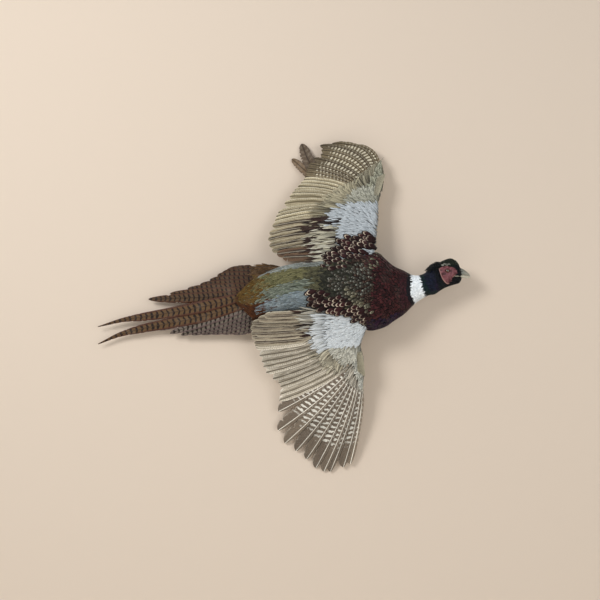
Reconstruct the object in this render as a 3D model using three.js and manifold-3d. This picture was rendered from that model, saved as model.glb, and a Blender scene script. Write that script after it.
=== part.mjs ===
// Cock ring-necked pheasant, a life-size flying mount that hangs on a wall by its belly.
// Millimetres. X runs from tail to bill, Z from the right wing to the left one, and Y into
// the wall. The wall is the plane Y = 0, so the bird's back faces -Y.
import * as THREE from 'three';
import { mergeVertices } from 'three/addons/utils/BufferGeometryUtils.js';
import Module from 'manifold-3d';

const wasm = await Module();
wasm.setup();

// ---- driving dimensions ----------------------------------------------------------------
const GAP = 0.35;               // clear space between neighbouring pieces
const CUT = 0.25;               // half the width of the cut between two lengths of the body
const SMALLEST = 0.05;          // detail that a cut may leave out

// Lengths of the body from the tail root to the bill. Each station gives its upper and lower
// edge as seen from behind the bird [x, z], and how far its back and belly are off the wall.
const BODY = [
  { upper: [-190, 10], lower: [-190, -42], back: 57, belly: 48 },   // end of the rump
  { upper: [-170, 28], lower: [-172, -57], back: 68, belly: 45 },
  { upper: [-148, 40], lower: [-149, -53], back: 80, belly: 39 },
  { upper: [-126, 49], lower: [-126, -47], back: 90, belly: 31 },   // widest of the rump
  { upper: [-88, 60], lower: [-88, -43], back: 103, belly: 23 },
  { upper: [-50, 66], lower: [-50, -43], back: 112, belly: 17 },    // loin
  { upper: [0, 71], lower: [0, -50], back: 122, belly: 13 },
  { upper: [43, 79], lower: [43, -65], back: 129, belly: 12 },      // between the shoulders
  { upper: [84, 86], lower: [84, -84], back: 128, belly: 12 },      // deepest of the breast
  { upper: [104, 84], lower: [106, -81], back: 122, belly: 14 },
  { upper: [121, 70], lower: [122, -75], back: 114, belly: 18 },
  { upper: [138, 56], lower: [139, -63], back: 104, belly: 24 },
  { upper: [160, 46], lower: [162, -48], back: 94, belly: 31 },
  { upper: [181, 36], lower: [186, -25], back: 85, belly: 36 },     // back edge of the collar
  { upper: [196, 36], lower: [216, -7], back: 80.5, belly: 40 },    // front edge of the collar
  { upper: [210, 42], lower: [229, -5], back: 79, belly: 41.5 },
  { upper: [222, 54], lower: [241, 3], back: 78, belly: 42.5 },     // ragged nape
  { upper: [236, 62], lower: [253, 10], back: 77, belly: 44 },
  { upper: [250, 69], lower: [264, 14], back: 76, belly: 45 },
  { upper: [265, 73], lower: [274, 17], back: 74, belly: 47 },      // crown
  { upper: [279, 69], lower: [284, 19], back: 71, belly: 50 },
  { upper: [287, 60], lower: [291, 27], back: 67.5, belly: 53.5 },
  { upper: [291, 52], lower: [293, 34], back: 64, belly: 57 },      // root of the bill
];
const BODY_SIDES = 20;          // faces round the body
const BODY_SQUARE = 2.25;       // 2 is an ellipse, more is boxier

// Where the body is parted: [name, first station, last station, rings, colour].
const BODY_LENGTHS = [
  ['rump', 0, 4, 6, 0x7c8068],
  ['back', 4, 6.6, 4, 0x3c3a34],
  ['breast', 6.6, 12.4, 8, 0x4a1f1c],
  ['neck_base', 12.4, 13, 1, 0x16161c],
  ['neck_collar', 13, 14, 2, 0xe6e9ec],
  ['neck_upper', 14, 16.2, 3, 0x141a2c],
];
const HEAD_SPAN = [16.2, 22, 7];

const HEAD_Y = -60.5;           // middle plane of the head
const EYE = { x: 256, z: 46, radius: 5.4, out: 12.4 };
const FACE_OUTLINE = [          // bare red skin round the eye and down the cheek
  [238, 49], [246, 55], [260, 56], [274, 50], [283, 41], [270, 36],
  [270, 24], [263, 16.5], [250, 20], [243, 32],
];
const FACE_THICK = 1.5;
const FACE_POINTS = 13;         // corners round its outline
const HEAD_DEPTH = 30;          // more than half the head's depth

// Bill halves: [x, z, half height, half width] from the root to the tip.
const BILL_UPPER = [
  [280, 45.5, 8.4, 6.2], [289, 44, 8, 5.8], [297, 41.5, 6, 4.4], [304, 37.5, 3.6, 2.6],
  [308.5, 32.5, 1.2, 0.9],
];
const BILL_LOWER = [
  [280, 34.6, 2.6, 5.2], [289, 32.6, 2.4, 4.8], [297, 31, 1.9, 3.6], [303, 29.6, 1.3, 2],
  [306, 28.9, 0.7, 0.8],
];

// Each wing lies in a shallow curved sheet. Its height off the wall falls from the root to
// the tip, and again from the leading edge back to the feather tips. Close to the body it
// rises on to the back.
const LEFT = {
  side: 1, rootHeight: 78, rise: 20, rootZ: 60, fall: 0.18, camber: 35, leadX: 110, chord: 240,
  armLead: [[84, 60], [98, 92], [102, 124], [106, 162], [107, 200], [114, 220]],
  armTrail: [[-34, 58], [-24, 78], [-39, 122], [-28, 168], [9, 202], [46, 226]],
  handLead: [[114.5, 221.5], [118, 256], [114, 283]],
  handTrail: [[47.5, 227.5], [80, 259], [104, 284]],
  primaryRoots: [[48, 229], [80, 260.5], [112, 285]],
  primaryTips: [[-57, 257], [-54, 274], [-43, 294], [-19, 311], [-22, 330], [42, 329]],
  primaryBulge: [0.06, 0.32], primarySkew: -0.13, primaryEdges: [[1, 6], [5, 2.5]], primaryRows: 5,
  secondaryRoots: [[45, 226.5], [8, 203.5], [-29.5, 168]],
  secondaryTips: [[-59, 251], [-75, 233], [-91, 213], [-118, 174], [-127, 150]],
  secondaryBulge: [0.12, 0.04],
  tertialRoots: [[-30.5, 164], [-40.5, 122], [-27, 82]],
  tertialTips: [[-129, 146], [-139, 118], [-131, 93], [-104, 80]],
  tertialBulge: [0.05, 0.02],
  alula: { from: [100, 214], to: [115, 264], width: 8, lift: 7 },
};
const RIGHT = {
  side: -1, rootHeight: 88, rise: 14, rootZ: 50, fall: 0.22, camber: 30, leadX: 80, chord: 240,
  armLead: [[92, -58], [78, -82], [69, -104], [66, -120], [72, -140]],
  armTrail: [[-60, -38], [-55, -73], [-48, -102], [-20, -136], [33, -167]],
  handLead: [[72.3, -141.5], [73, -172], [71, -210]],
  handTrail: [[34.5, -168.5], [50, -192], [62, -213]],
  primaryRoots: [[35, -170], [51, -194], [70, -214]],
  primaryTips: [[-116, -268], [-113, -328], [-62, -369], [-25, -402], [4, -405], [45, -387]],
  primaryBulge: [0.05, 0.06], primarySkew: -0.1, primaryEdges: [[1, 15], [4, 2]], primaryRows: 3,
  secondaryRoots: [[32, -168], [-21, -137.5], [-49, -103]],
  secondaryTips: [[-114, -243], [-112, -208], [-142, -182], [-155, -148], [-168, -118]],
  secondaryBulge: [0.07, 0.04],
  tertialRoots: [[-50, -101], [-56.5, -73], [-61, -50]],
  tertialTips: [[-169, -114], [-177, -92], [-174, -70], [-140, -58]],
  tertialBulge: [0.04, 0.02],
  alula: { from: [62, -132], to: [69, -188], width: 8, lift: 7 },
};
const RISE_REACH = 45;          // how fast a wing's rise on to the back dies away
const PRIMARIES = 10;
const SECONDARIES = 11;
const TERTIALS = 5;
const VANE_THICK = 1.1;         // a flight feather's thickness in the solids
const SHAFT_RISE = 0.7;         // how far a feather's middle stands over its edges
const ROOT_INSET = 3;           // how far feather roots reach in before they are cut back
const PLATE_EDGE = 0.9;         // half the thickness of the coverts' rear edge
const ARM_THICK = [24, 10];     // flesh of the arm at the shoulder and at the wrist
const HAND_THICK = [10, 5];
const ARM_ROWS = 6;             // steps from the shoulder to the wrist
const HAND_ROWS = 3;
const PLATE_COLUMNS = 7;        // steps from the leading edge back

// Two broken feathers stand askew behind the left wing's tip. Each has a root, a bend, a tip,
// a half width and a distance that it hangs below the wing.
const BENT_FEATHERS = [
  ['upper', [-30, 262], [-50, 298], [-64, 334], 14, 4.3],
  ['lower', [-34, 250], [-62, 278], [-86, 300], 10, 7],
];

const TAIL_ROOT_X = -168;
const TAIL_HEIGHT = 38;         // off the wall at its root
const TAIL_FALL = 0.07;
const TAIL_ROOF = 5;            // how far its sides droop
const TAIL_AXIS = [-13, 0.235]; // z of its middle at the root, and how it swings downwards
const TAIL_SIDES = 6;           // feathers on each side of the long middle pair
const TAIL_LEFT_TIPS = [[-232, 47], [-249, 39], [-280, 21], [-330, 4], [-414, -18]];
const TAIL_LEFT_ROOTS = [[TAIL_ROOT_X, 50], [TAIL_ROOT_X, 22], [TAIL_ROOT_X, -8]];
const TAIL_RIGHT_TIPS = [[-388, -84], [-342, -96], [-300, -95], [-262, -93], [-222, -91]];
const TAIL_RIGHT_ROOTS = [[TAIL_ROOT_X, -18], [TAIL_ROOT_X, -48], [TAIL_ROOT_X, -78]];
const TAIL_LONG = {
  left: [[TAIL_ROOT_X, -4], [-300, -36], [-418, -56], [-460, -62], [-521, -78]],
  right: [[TAIL_ROOT_X, -22], [-300, -58], [-424, -83], [-470, -95], [-521, -117]],
};
const TAIL_LONG_RISE = 2.2;
const TAIL_LONG_WIDTH = 17;     // half width near the root

const COVERTS = [               // brown plumes over the tail root: [x, upper z, lower z]
  [-96, 50, -34], [-125, 66, -48], [-150, 66, -66], [-176, 55, -82], [-208, 50, -88],
  [-226, 34, -72],
];
const COVERTS_Y = [-44.3, -49.6];
const UNDERTAIL = [
  [-104, 18, -26], [-140, 28, -44], [-190, 22, -54], [-226, 12, -50], [-248, -4, -40],
];
const UNDERTAIL_Y = [-20.5, -30];

const LEG = {
  spread: 27, hip: [-6, 26], heel: [-96, 15.2], ankle: [-166, 13],
  thighRadius: [17, 14, 6], tarsusRadius: 4.4, spurRadius: [2.8, 0.5],
  toeLength: [36, 48, 34], toeRadius: 2.8, toeFan: 0.36, middle: 5,
};

const HANGER = {
  width: 56, height: 40, thick: 3, corner: 8, slotWidth: 6, slotIn: 14, slotTop: 8, slotFoot: -4,
  rodRadius: 6, rodLength: 20,
};

// ---- materials --------------------------------------------------------------------------
function finish(color, roughness = 0.75, metalness = 0) {
  return new THREE.MeshStandardMaterial({ color, roughness, metalness });
}
const HORN = finish(0x9aa69a, 0.4);
const EYE_GLASS = finish(0x2a160c, 0.1);
const RED_SKIN = finish(0x93484c, 0.6);
const COVERT_GREY = finish(0xb4bec6);
const BUFF = finish(0xb0a888);
const BARRED_BROWN = finish(0x7a6a54);
const TERTIAL_BROWN = finish(0x5a4638);
const TAIL_BROWN = finish(0x6e5840);
const LEG_GREY = finish(0x8c8474, 0.55);
const STEEL = finish(0xb4b6b8, 0.35, 1);

// ---- shape helpers ----------------------------------------------------------------------
const bird = new THREE.Group();

function addPart(name, geometry, material) {
  const part = new THREE.Mesh(geometry, material);
  part.name = name;
  bird.add(part);
}

// A closed body from points and faces, turned so that its faces point out.
function closedBody(points, faces) {
  const geometry = new THREE.BufferGeometry();
  const flat = points.flatMap((p) => [p.x, p.y, p.z]);
  geometry.setAttribute('position', new THREE.Float32BufferAttribute(flat, 3));
  let volume = 0;
  for (const [a, b, c] of faces) {
    volume += points[a].dot(new THREE.Vector3().crossVectors(points[b], points[c]));
  }
  const turned = volume < 0 ? faces.map(([a, b, c]) => [a, c, b]) : faces;
  geometry.setIndex(turned.flat());
  return geometry;
}

// Rings of equal length joined into a tube, with a middle point closing each end.
function loft(rings) {
  const sides = rings[0].length;
  const points = rings.flat();
  const faces = [];
  for (let row = 0; row + 1 < rings.length; row++) {
    for (let i = 0; i < sides; i++) {
      const next = (i + 1) % sides;
      const [a, b] = [row * sides + i, row * sides + next];
      faces.push([a, b, b + sides], [a, b + sides, a + sides]);
    }
  }
  for (const row of [0, rings.length - 1]) {
    const middle = new THREE.Vector3();
    rings[row].forEach((p) => middle.addScaledVector(p, 1 / sides));
    const centre = points.push(middle) - 1;
    for (let i = 0; i < sides; i++) {
      const [a, b] = [row * sides + i, row * sides + (i + 1) % sides];
      faces.push(row === 0 ? [b, a, centre] : [a, b, centre]);
    }
  }
  return closedBody(points, faces);
}

// Two grids of points [row][column], one over the other, closed along their edges.
function slab(top, bottom) {
  const rows = top.length;
  const columns = top[0].length;
  const points = [...top.flat(), ...bottom.flat()];
  const under = rows * columns;
  const faces = [];
  const quad = (a, b, c, d) => faces.push([a, b, c], [a, c, d]);
  for (let r = 0; r + 1 < rows; r++) {
    for (let c = 0; c + 1 < columns; c++) {
      const at = r * columns + c;
      quad(at, at + 1, at + 1 + columns, at + columns);
      quad(under + at, under + at + columns, under + at + 1 + columns, under + at + 1);
    }
  }
  for (let c = 0; c + 1 < columns; c++) {
    const last = (rows - 1) * columns + c;
    quad(c, under + c, under + c + 1, c + 1);
    quad(last, last + 1, under + last + 1, under + last);
  }
  for (let r = 0; r + 1 < rows; r++) {
    const first = r * columns;
    const last = first + columns - 1;
    quad(first, first + columns, under + first + columns, under + first);
    quad(last, under + last, under + last + columns, last + columns);
  }
  return closedBody(points, faces);
}

// A smooth curve through flat points [x, z], read at an even step t.
function flatCurve(flatPoints) {
  const curve = new THREE.CatmullRomCurve3(
    flatPoints.map(([x, z]) => new THREE.Vector3(x, 0, z)), false, 'centripetal');
  return (t) => curve.getPoint(THREE.MathUtils.clamp(t, 0, 1));
}

function solid(geometry) {
  const bare = geometry.clone();
  bare.deleteAttribute('normal');
  bare.deleteAttribute('uv');
  const merged = mergeVertices(bare, 1e-4);
  return new wasm.Manifold(new wasm.Mesh({
    numProp: 3,
    vertProperties: new Float32Array(merged.attributes.position.array),
    triVerts: new Uint32Array(merged.index.array),
  }));
}

// The largest body of a solid as a geometry, without the slivers left by a cut.
function fromSolid(manifold) {
  const bodies = manifold.simplify(SMALLEST).decompose();
  bodies.sort((a, b) => b.volume() - a.volume());
  const mesh = bodies[0].getMesh();
  const geometry = new THREE.BufferGeometry();
  geometry.setAttribute('position', new THREE.BufferAttribute(mesh.vertProperties, 3));
  geometry.setIndex(Array.from(mesh.triVerts));
  return geometry;
}

// Cuts a piece back from its neighbours, leaving the gap along the axes named.
function carve(body, neighbours, axes = [0, 2]) {
  let left = body;
  for (const neighbour of neighbours) {
    for (const axis of axes) {
      for (const way of [-GAP, GAP]) {
        const nudge = [0, 0, 0];
        nudge[axis] = way;
        left = left.subtract(neighbour.translate(nudge));
      }
    }
  }
  return left;
}

function lerp(range, t) {
  return THREE.MathUtils.lerp(range[0], range[1], t);
}

// ---- body, neck and head ----------------------------------------------------------------
const bodyUpper = new THREE.CatmullRomCurve3(
  BODY.map(({ upper, back, belly }) => new THREE.Vector3(upper[0], -(back + belly) / 2, upper[1])));
const bodyLower = new THREE.CatmullRomCurve3(
  BODY.map(({ lower, back, belly }) => new THREE.Vector3(lower[0], (back - belly) / 2, lower[1])));

// One ring round the body at a station, grown outwards by some millimetres.
function bodyRing(station, grow = 0) {
  const t = station / (BODY.length - 1);
  const upper = bodyUpper.getPoint(t);
  const lower = bodyLower.getPoint(t);
  const halfDepth = lower.y + grow;
  const centre = new THREE.Vector3((upper.x + lower.x) / 2, upper.y, (upper.z + lower.z) / 2);
  const across = new THREE.Vector3(upper.x - centre.x, 0, upper.z - centre.z);
  across.setLength(across.length() + grow);
  const ring = [];
  for (let i = 0; i < BODY_SIDES; i++) {
    const angle = (i / BODY_SIDES) * Math.PI * 2;
    const [c, s] = [Math.cos(angle), Math.sin(angle)];
    const bulge = (v) => Math.sign(v) * Math.abs(v) ** (2 / BODY_SQUARE);
    const point = centre.clone().addScaledVector(across, bulge(c));
    point.y -= halfDepth * bulge(s);
    ring.push(point);
  }
  return ring;
}

// How much station number half a cut takes up, at a station.
function cutAt(station) {
  const step = 0.01;
  const here = bodyUpper.getPoint(station / (BODY.length - 1));
  const there = bodyUpper.getPoint((station + step) / (BODY.length - 1));
  return CUT * step / Math.max(Math.hypot(there.x - here.x, there.z - here.z), 0.01);
}

function stationsOf(first, last, steps) {
  const list = [];
  for (let i = 0; i <= steps; i++) list.push(first + (last - first) * i / steps);
  return list;
}

function bodyLength(first, last, steps) {
  const stations = stationsOf(first, last, steps);
  stations[0] += cutAt(first);
  stations[steps] -= cutAt(last);
  return loft(stations.map((station) => bodyRing(station)));
}

for (const [name, first, last, steps, color] of BODY_LENGTHS) {
  addPart(name, bodyLength(first, last, steps), finish(color));
}

const trunkStations = BODY_LENGTHS.slice(0, 4).flatMap(
  ([, first, last, steps]) => stationsOf(first, last, steps).slice(1));
const trunkClearance = solid(loft([0, ...trunkStations].map((s) => bodyRing(s, GAP))));

function headGrown(grow) {
  return solid(loft(stationsOf(...HEAD_SPAN).map((s) => bodyRing(s, grow))));
}

function eyeBall(side, radius) {
  const ball = new THREE.SphereGeometry(radius, 12, 6);
  ball.translate(EYE.x, HEAD_Y - side * EYE.out, EYE.z);
  return ball;
}

function billHalf(stations) {
  const rings = stations.map(([x, z, halfHeight, halfWidth]) => {
    const ring = [];
    for (let i = 0; i < 12; i++) {
      const angle = (i / 12) * Math.PI * 2;
      ring.push(new THREE.Vector3(
        x, HEAD_Y + halfWidth * Math.cos(angle), z + halfHeight * Math.sin(angle)));
    }
    return ring;
  });
  return loft(rings);
}

let head = solid(bodyLength(...HEAD_SPAN));
const headClearance = headGrown(GAP);
const faceShape = new THREE.Shape(
  new THREE.SplineCurve(
    [...FACE_OUTLINE, FACE_OUTLINE[0]].map(([x, z]) => new THREE.Vector2(x, z))).getPoints(FACE_POINTS));
for (const [sideName, side] of [['right', 1], ['left', -1]]) {
  const socket = solid(eyeBall(side, EYE.radius + GAP));
  head = head.subtract(socket);
  addPart(`eye_${sideName}`, eyeBall(side, EYE.radius), EYE_GLASS);

  const cheek = new THREE.ExtrudeGeometry(faceShape, { depth: HEAD_DEPTH, bevelEnabled: false });
  cheek.rotateX(Math.PI / 2);
  cheek.translate(0, side > 0 ? HEAD_Y : HEAD_Y + HEAD_DEPTH, 0);
  const skin = solid(cheek).intersect(headGrown(FACE_THICK)).subtract(headClearance);
  addPart(`face_skin_${sideName}`, fromSolid(skin.subtract(socket)), RED_SKIN);
}
addPart('head', fromSolid(head), finish(0x1c2420));
addPart('bill_upper', fromSolid(solid(billHalf(BILL_UPPER)).subtract(headClearance)), HORN);
addPart('bill_lower', fromSolid(solid(billHalf(BILL_LOWER)).subtract(headClearance)), HORN);

// ---- wings ------------------------------------------------------------------------------
function wingHeight(wing, x, z) {
  const outward = z * wing.side - wing.rootZ;
  const behind = Math.max(wing.leadX - x, 0) / wing.chord;
  const rise = wing.rise * Math.exp(-outward / RISE_REACH);
  return wing.rootHeight + rise - wing.fall * outward - wing.camber * behind ** 2;
}

// Feathers side by side, joined at their edges. Each runs along its own bowed line from a
// root to a tip; the edges between two stop short of the tips, which leaves pointed ends.
// The bow is to the wing tip's side, and order is 1 where the feathers are counted that way.
// The edges say how far the first and last feather reach past their middle, root and tip.
function featherFan({
  count, rows, rounded, roots, tips, bulge, skew = -0.1, edges, notch, side, order, heightAt,
}) {
  const rootAt = flatCurve(roots);
  const tipAt = flatCurve(tips);
  const lineAt = (v, along, reach) => {
    const [root, tip] = [rootAt(v), tipAt(v)];
    const chord = tip.clone().sub(root);
    const start = -ROOT_INSET / chord.length();
    const outwards = new THREE.Vector3(chord.z, 0, -chord.x).multiplyScalar(side);
    const bow = bulge[0] + (bulge[1] - bulge[0]) * v ** 2;
    const bend = root.clone().lerp(tip, 0.5 + skew).addScaledVector(outwards, bow);
    return new THREE.QuadraticBezierCurve3(root, bend, tip).getPoint(start + (reach - start) * along);
  };
  const columns = [];
  for (let feather = 0; feather < count; feather++) {
    columns.push({ place: feather, reach: 1 - notch, rise: 0 });
    if (rounded) columns.push({ place: feather + 0.33, reach: 1 - notch * 0.12, rise: 0.8 });
    columns.push({ place: feather + 0.6, reach: 1, rise: 1 });
  }
  columns.push({ place: count, reach: 1 - notch, rise: 0 });
  const top = [];
  const bottom = [];
  for (let row = 0; row <= rows; row++) {
    const grid = columns.map(({ place, reach, rise }) => {
      const v = (place - 0.5) / (count - 1);
      const inside = THREE.MathUtils.clamp(v, 0, 1);
      const along = row / rows;
      const point = lineAt(inside, along, reach);
      const ahead = lineAt(inside, along + 0.02, reach).sub(lineAt(inside, along - 0.02, reach));
      const outwards = new THREE.Vector3(ahead.z, 0, -ahead.x).setLength(side * order);
      const beyond = (v - inside) * 2 * (count - 1);
      point.addScaledVector(outwards, beyond * lerp(edges[v < 0.5 ? 0 : 1], along));
      return { point, rise: rise * Math.min(1, 4 * row / rows) };
    });
    const lift = (extra) => grid.map(({ point, rise }) => new THREE.Vector3(
      point.x, -heightAt(point.x, point.z) - SHAFT_RISE * rise - extra, point.z));
    top.push(lift(VANE_THICK / 2));
    bottom.push(lift(-VANE_THICK / 2));
  }
  return slab(top, bottom);
}

// Arm or hand: flesh thick behind the leading edge and thin at the coverts' rear edge.
function wingPlate(wing, lead, trail, thick, rows) {
  const leadAt = flatCurve(lead);
  const trailAt = flatCurve(trail);
  const top = [];
  const bottom = [];
  for (let row = 0; row <= rows; row++) {
    const along = row / rows;
    const flesh = lerp(thick, along);
    const over = [];
    const under = [];
    for (let column = 0; column <= PLATE_COLUMNS; column++) {
      const back = (column / PLATE_COLUMNS) ** 1.3;
      const point = leadAt(along).lerp(trailAt(along), back);
      const wide = PLATE_EDGE + flesh * Math.sqrt(back) * (1 - back) ** 1.4;
      const middle = -wingHeight(wing, point.x, point.z);
      over.push(new THREE.Vector3(point.x, middle - wide, point.z));
      under.push(new THREE.Vector3(point.x, middle + wide * 0.8, point.z));
    }
    top.push(over);
    bottom.push(under);
  }
  return slab(top, bottom);
}

function blade(line, halfWidthAt, heightAt, rows) {
  const top = [];
  const bottom = [];
  for (let row = 0; row <= rows; row++) {
    const t = row / rows;
    const middle = line(t);
    const ahead = line(Math.min(t + 0.01, 1)).sub(line(Math.max(t - 0.01, 0))).normalize();
    const across = new THREE.Vector3(-ahead.z, 0, ahead.x).multiplyScalar(halfWidthAt(t));
    const points = [-1, 0, 1].map((s) => middle.clone().addScaledVector(across, s));
    const lift = (extra) => points.map((p, i) => new THREE.Vector3(
      p.x, -heightAt(p.x, p.z) - (i === 1 ? SHAFT_RISE : 0) - extra, p.z));
    top.push(lift(VANE_THICK / 2));
    bottom.push(lift(-VANE_THICK / 2));
  }
  return slab(top, bottom);
}

for (const [name, wing] of [['left', LEFT], ['right', RIGHT]]) {
  const heightAt = (x, z) => wingHeight(wing, x, z);
  const { side } = wing;
  const arm = solid(wingPlate(wing, wing.armLead, wing.armTrail, ARM_THICK, ARM_ROWS));
  const palm = solid(wingPlate(wing, wing.handLead, wing.handTrail, HAND_THICK, HAND_ROWS));
  const hand = carve(palm, [arm]);
  const secondaries = carve(solid(featherFan({
    count: SECONDARIES, rows: 4, roots: wing.secondaryRoots, tips: wing.secondaryTips,
    bulge: wing.secondaryBulge, edges: [[0.5, 7], [0.5, 3]], notch: 0.06, side, order: -1, heightAt,
  })), [arm, hand]);
  const primaries = carve(carve(solid(featherFan({
    count: PRIMARIES, rows: wing.primaryRows, rounded: true,
    roots: wing.primaryRoots, tips: wing.primaryTips,
    bulge: wing.primaryBulge, skew: wing.primarySkew, edges: wing.primaryEdges, notch: 0.1,
    side, order: 1, heightAt,
  })), [arm, hand]), [secondaries], [1, 2]);
  const tertials = carve(solid(featherFan({
    count: TERTIALS, rows: 3, roots: wing.tertialRoots, tips: wing.tertialTips,
    bulge: wing.tertialBulge, edges: [[0.5, 4], [0.5, 1]], notch: 0.14, side, order: -1, heightAt,
  })), [arm, secondaries], [1, 2]);
  addPart(`wing_${name}_arm`, fromSolid(arm.subtract(trunkClearance)), COVERT_GREY);
  addPart(`wing_${name}_hand`, fromSolid(hand), COVERT_GREY);
  addPart(`wing_${name}_primaries`, fromSolid(primaries), BARRED_BROWN);
  addPart(`wing_${name}_secondaries`, fromSolid(secondaries), BUFF);
  addPart(`wing_${name}_tertials`, fromSolid(tertials.subtract(trunkClearance)), TERTIAL_BROWN);

  const { from, to, width, lift } = wing.alula;
  const thumb = flatCurve([from, to]);
  addPart(`wing_${name}_alula`, blade(
    (t) => thumb(t), (t) => width * (0.55 + 0.45 * Math.sin(Math.PI * t)) * (1 - 0.7 * t ** 3),
    (x, z) => heightAt(x, z) + lift, 5), BARRED_BROWN);
}

for (const [name, root, bend, tip, halfWidth, sink] of BENT_FEATHERS) {
  addPart(`wing_left_bent_feather_${name}`, blade(
    flatCurve([root, bend, tip]), (t) => halfWidth * (0.35 + 0.65 * Math.sin(Math.PI * t ** 0.8)),
    (x, z) => wingHeight(LEFT, x, z) - sink, 6), TERTIAL_BROWN);
}

// ---- tail -------------------------------------------------------------------------------
function tailHeight(x, z) {
  const back = TAIL_ROOT_X - x;
  const sideways = (z - (TAIL_AXIS[0] - TAIL_AXIS[1] * back)) / 60;
  return TAIL_HEIGHT - TAIL_FALL * back - TAIL_ROOF * Math.min(sideways ** 2, 1.5);
}

for (const [name, roots, tips] of [
  ['left', TAIL_LEFT_ROOTS, TAIL_LEFT_TIPS], ['right', TAIL_RIGHT_ROOTS, TAIL_RIGHT_TIPS]]) {
  addPart(`tail_${name}`, featherFan({
    count: TAIL_SIDES, rows: 3, roots, tips, bulge: [0, 0], skew: 0, edges: [[4, 2], [4, 2]],
    notch: 0.12, side: 1, order: -1, heightAt: tailHeight,
  }), TAIL_BROWN);
}
for (const [name, points] of Object.entries(TAIL_LONG)) {
  const shelf = name === 'left' ? 2 : 1;
  addPart(`tail_long_${name}`, blade(
    flatCurve(points), (t) => 1.2 + TAIL_LONG_WIDTH * (1 - t) ** 0.55 * Math.min(1, 0.35 + t * 3),
    (x, z) => tailHeight(x, z) + TAIL_LONG_RISE * shelf, 12), TAIL_BROWN);
}

// Plumes over and under the tail root, each a flat lens-shaped length.
function plumes(stations, [nearWall, farSide]) {
  const rings = stations.map(([x, upperZ, lowerZ], i) => {
    const end = i === 0 || i === stations.length - 1 ? 0.4 : 1;
    const middle = (nearWall + farSide) / 2;
    const ring = [];
    for (let k = 0; k < 12; k++) {
      const angle = (k / 12) * Math.PI * 2;
      ring.push(new THREE.Vector3(
        x, middle + end * Math.sin(angle) * (nearWall - farSide) / 2,
        (upperZ + lowerZ) / 2 + Math.cos(angle) * (upperZ - lowerZ) / 2));
    }
    return ring;
  });
  return solid(loft(rings)).subtract(trunkClearance);
}
addPart('tail_coverts', fromSolid(plumes(COVERTS, COVERTS_Y)), finish(0x6a4a30));
addPart('undertail_coverts', fromSolid(plumes(UNDERTAIL, UNDERTAIL_Y)), finish(0x2e201a));

// ---- legs, folded back along the belly --------------------------------------------------
// A tapered limb along a smooth line, with its radii spread evenly from end to end.
function limb(points, radii, sides = 10, steps = 4) {
  const path = new THREE.CatmullRomCurve3(points);
  const rings = [];
  for (let i = 0; i <= steps; i++) {
    const t = i / steps;
    const forward = path.getTangent(t);
    const first = new THREE.Vector3(0, 1, 0).cross(forward).normalize();
    const second = forward.clone().cross(first);
    const at = t * (radii.length - 1);
    const low = Math.min(Math.floor(at), radii.length - 2);
    const radius = lerp([radii[low], radii[low + 1]], at - low);
    const ring = [];
    for (let k = 0; k < sides; k++) {
      const angle = (k / sides) * Math.PI * 2;
      ring.push(path.getPoint(t).addScaledVector(first, Math.cos(angle) * radius)
        .addScaledVector(second, Math.sin(angle) * radius));
    }
    rings.push(ring);
  }
  return solid(loft(rings));
}

for (const [name, side] of [['left', 1], ['right', -1]]) {
  const { spread, hip, heel, ankle, thighRadius, tarsusRadius, spurRadius, middle } = LEG;
  const place = ([x, height], outwards) => new THREE.Vector3(x, -height, middle + side * outwards);
  const knee = [(hip[0] + heel[0]) / 2, 23];
  const thigh = limb(
    [place(hip, spread + 8), place(knee, spread + 4), place(heel, spread)], thighRadius);
  addPart(`thigh_${name}`, fromSolid(thigh.subtract(trunkClearance)), finish(0x3a2a22));

  const heelEnd = [heel[0] - 2, heel[1]];
  const shank = limb(
    [place(heelEnd, spread), place(ankle, spread - 3)], [tarsusRadius, tarsusRadius], 10, 1);
  const spurRoot = [ankle[0] + 22, ankle[1] + 0.5];
  const spurTip = [ankle[0] + 12, ankle[1] - 3];
  const spur = limb([place(spurRoot, spread - 6), place(spurTip, spread - 15)], spurRadius, 8, 1);
  addPart(`tarsus_${name}`, fromSolid(shank.add(spur)), LEG_GREY);

  const footStart = [ankle[0] - 3, ankle[1] - 0.5];
  let foot = limb([place([footStart[0] + 2, footStart[1]], spread - 3),
    place([footStart[0] - 5, footStart[1]], spread - 3)], [4.4, 4], 8, 1);
  LEG.toeLength.forEach((length, i) => {
    const fanned = (i - 1) * LEG.toeFan;
    const along = (part) => footStart[0] - 3 - length * part * Math.cos(fanned);
    const aside = (part) => spread - 3 + length * part * Math.sin(fanned);
    foot = foot.add(limb([
      place([along(0), footStart[1]], aside(0)), place([along(0.5), footStart[1] - 3], aside(0.5)),
      place([along(0.8), footStart[1] - 5], aside(0.8)), place([along(1), footStart[1] - 9], aside(1)),
    ], [1, 0.85, 0.7, 0.18].map((part) => part * LEG.toeRadius), 6));
  });
  foot = foot.add(limb([place([footStart[0] - 1, footStart[1]], spread - 5),
    place([footStart[0] + 9, footStart[1] - 5.5], spread - 14)], [2.2, 0.6], 6, 1));
  addPart(`foot_${name}`, fromSolid(foot), LEG_GREY);
}

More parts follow.
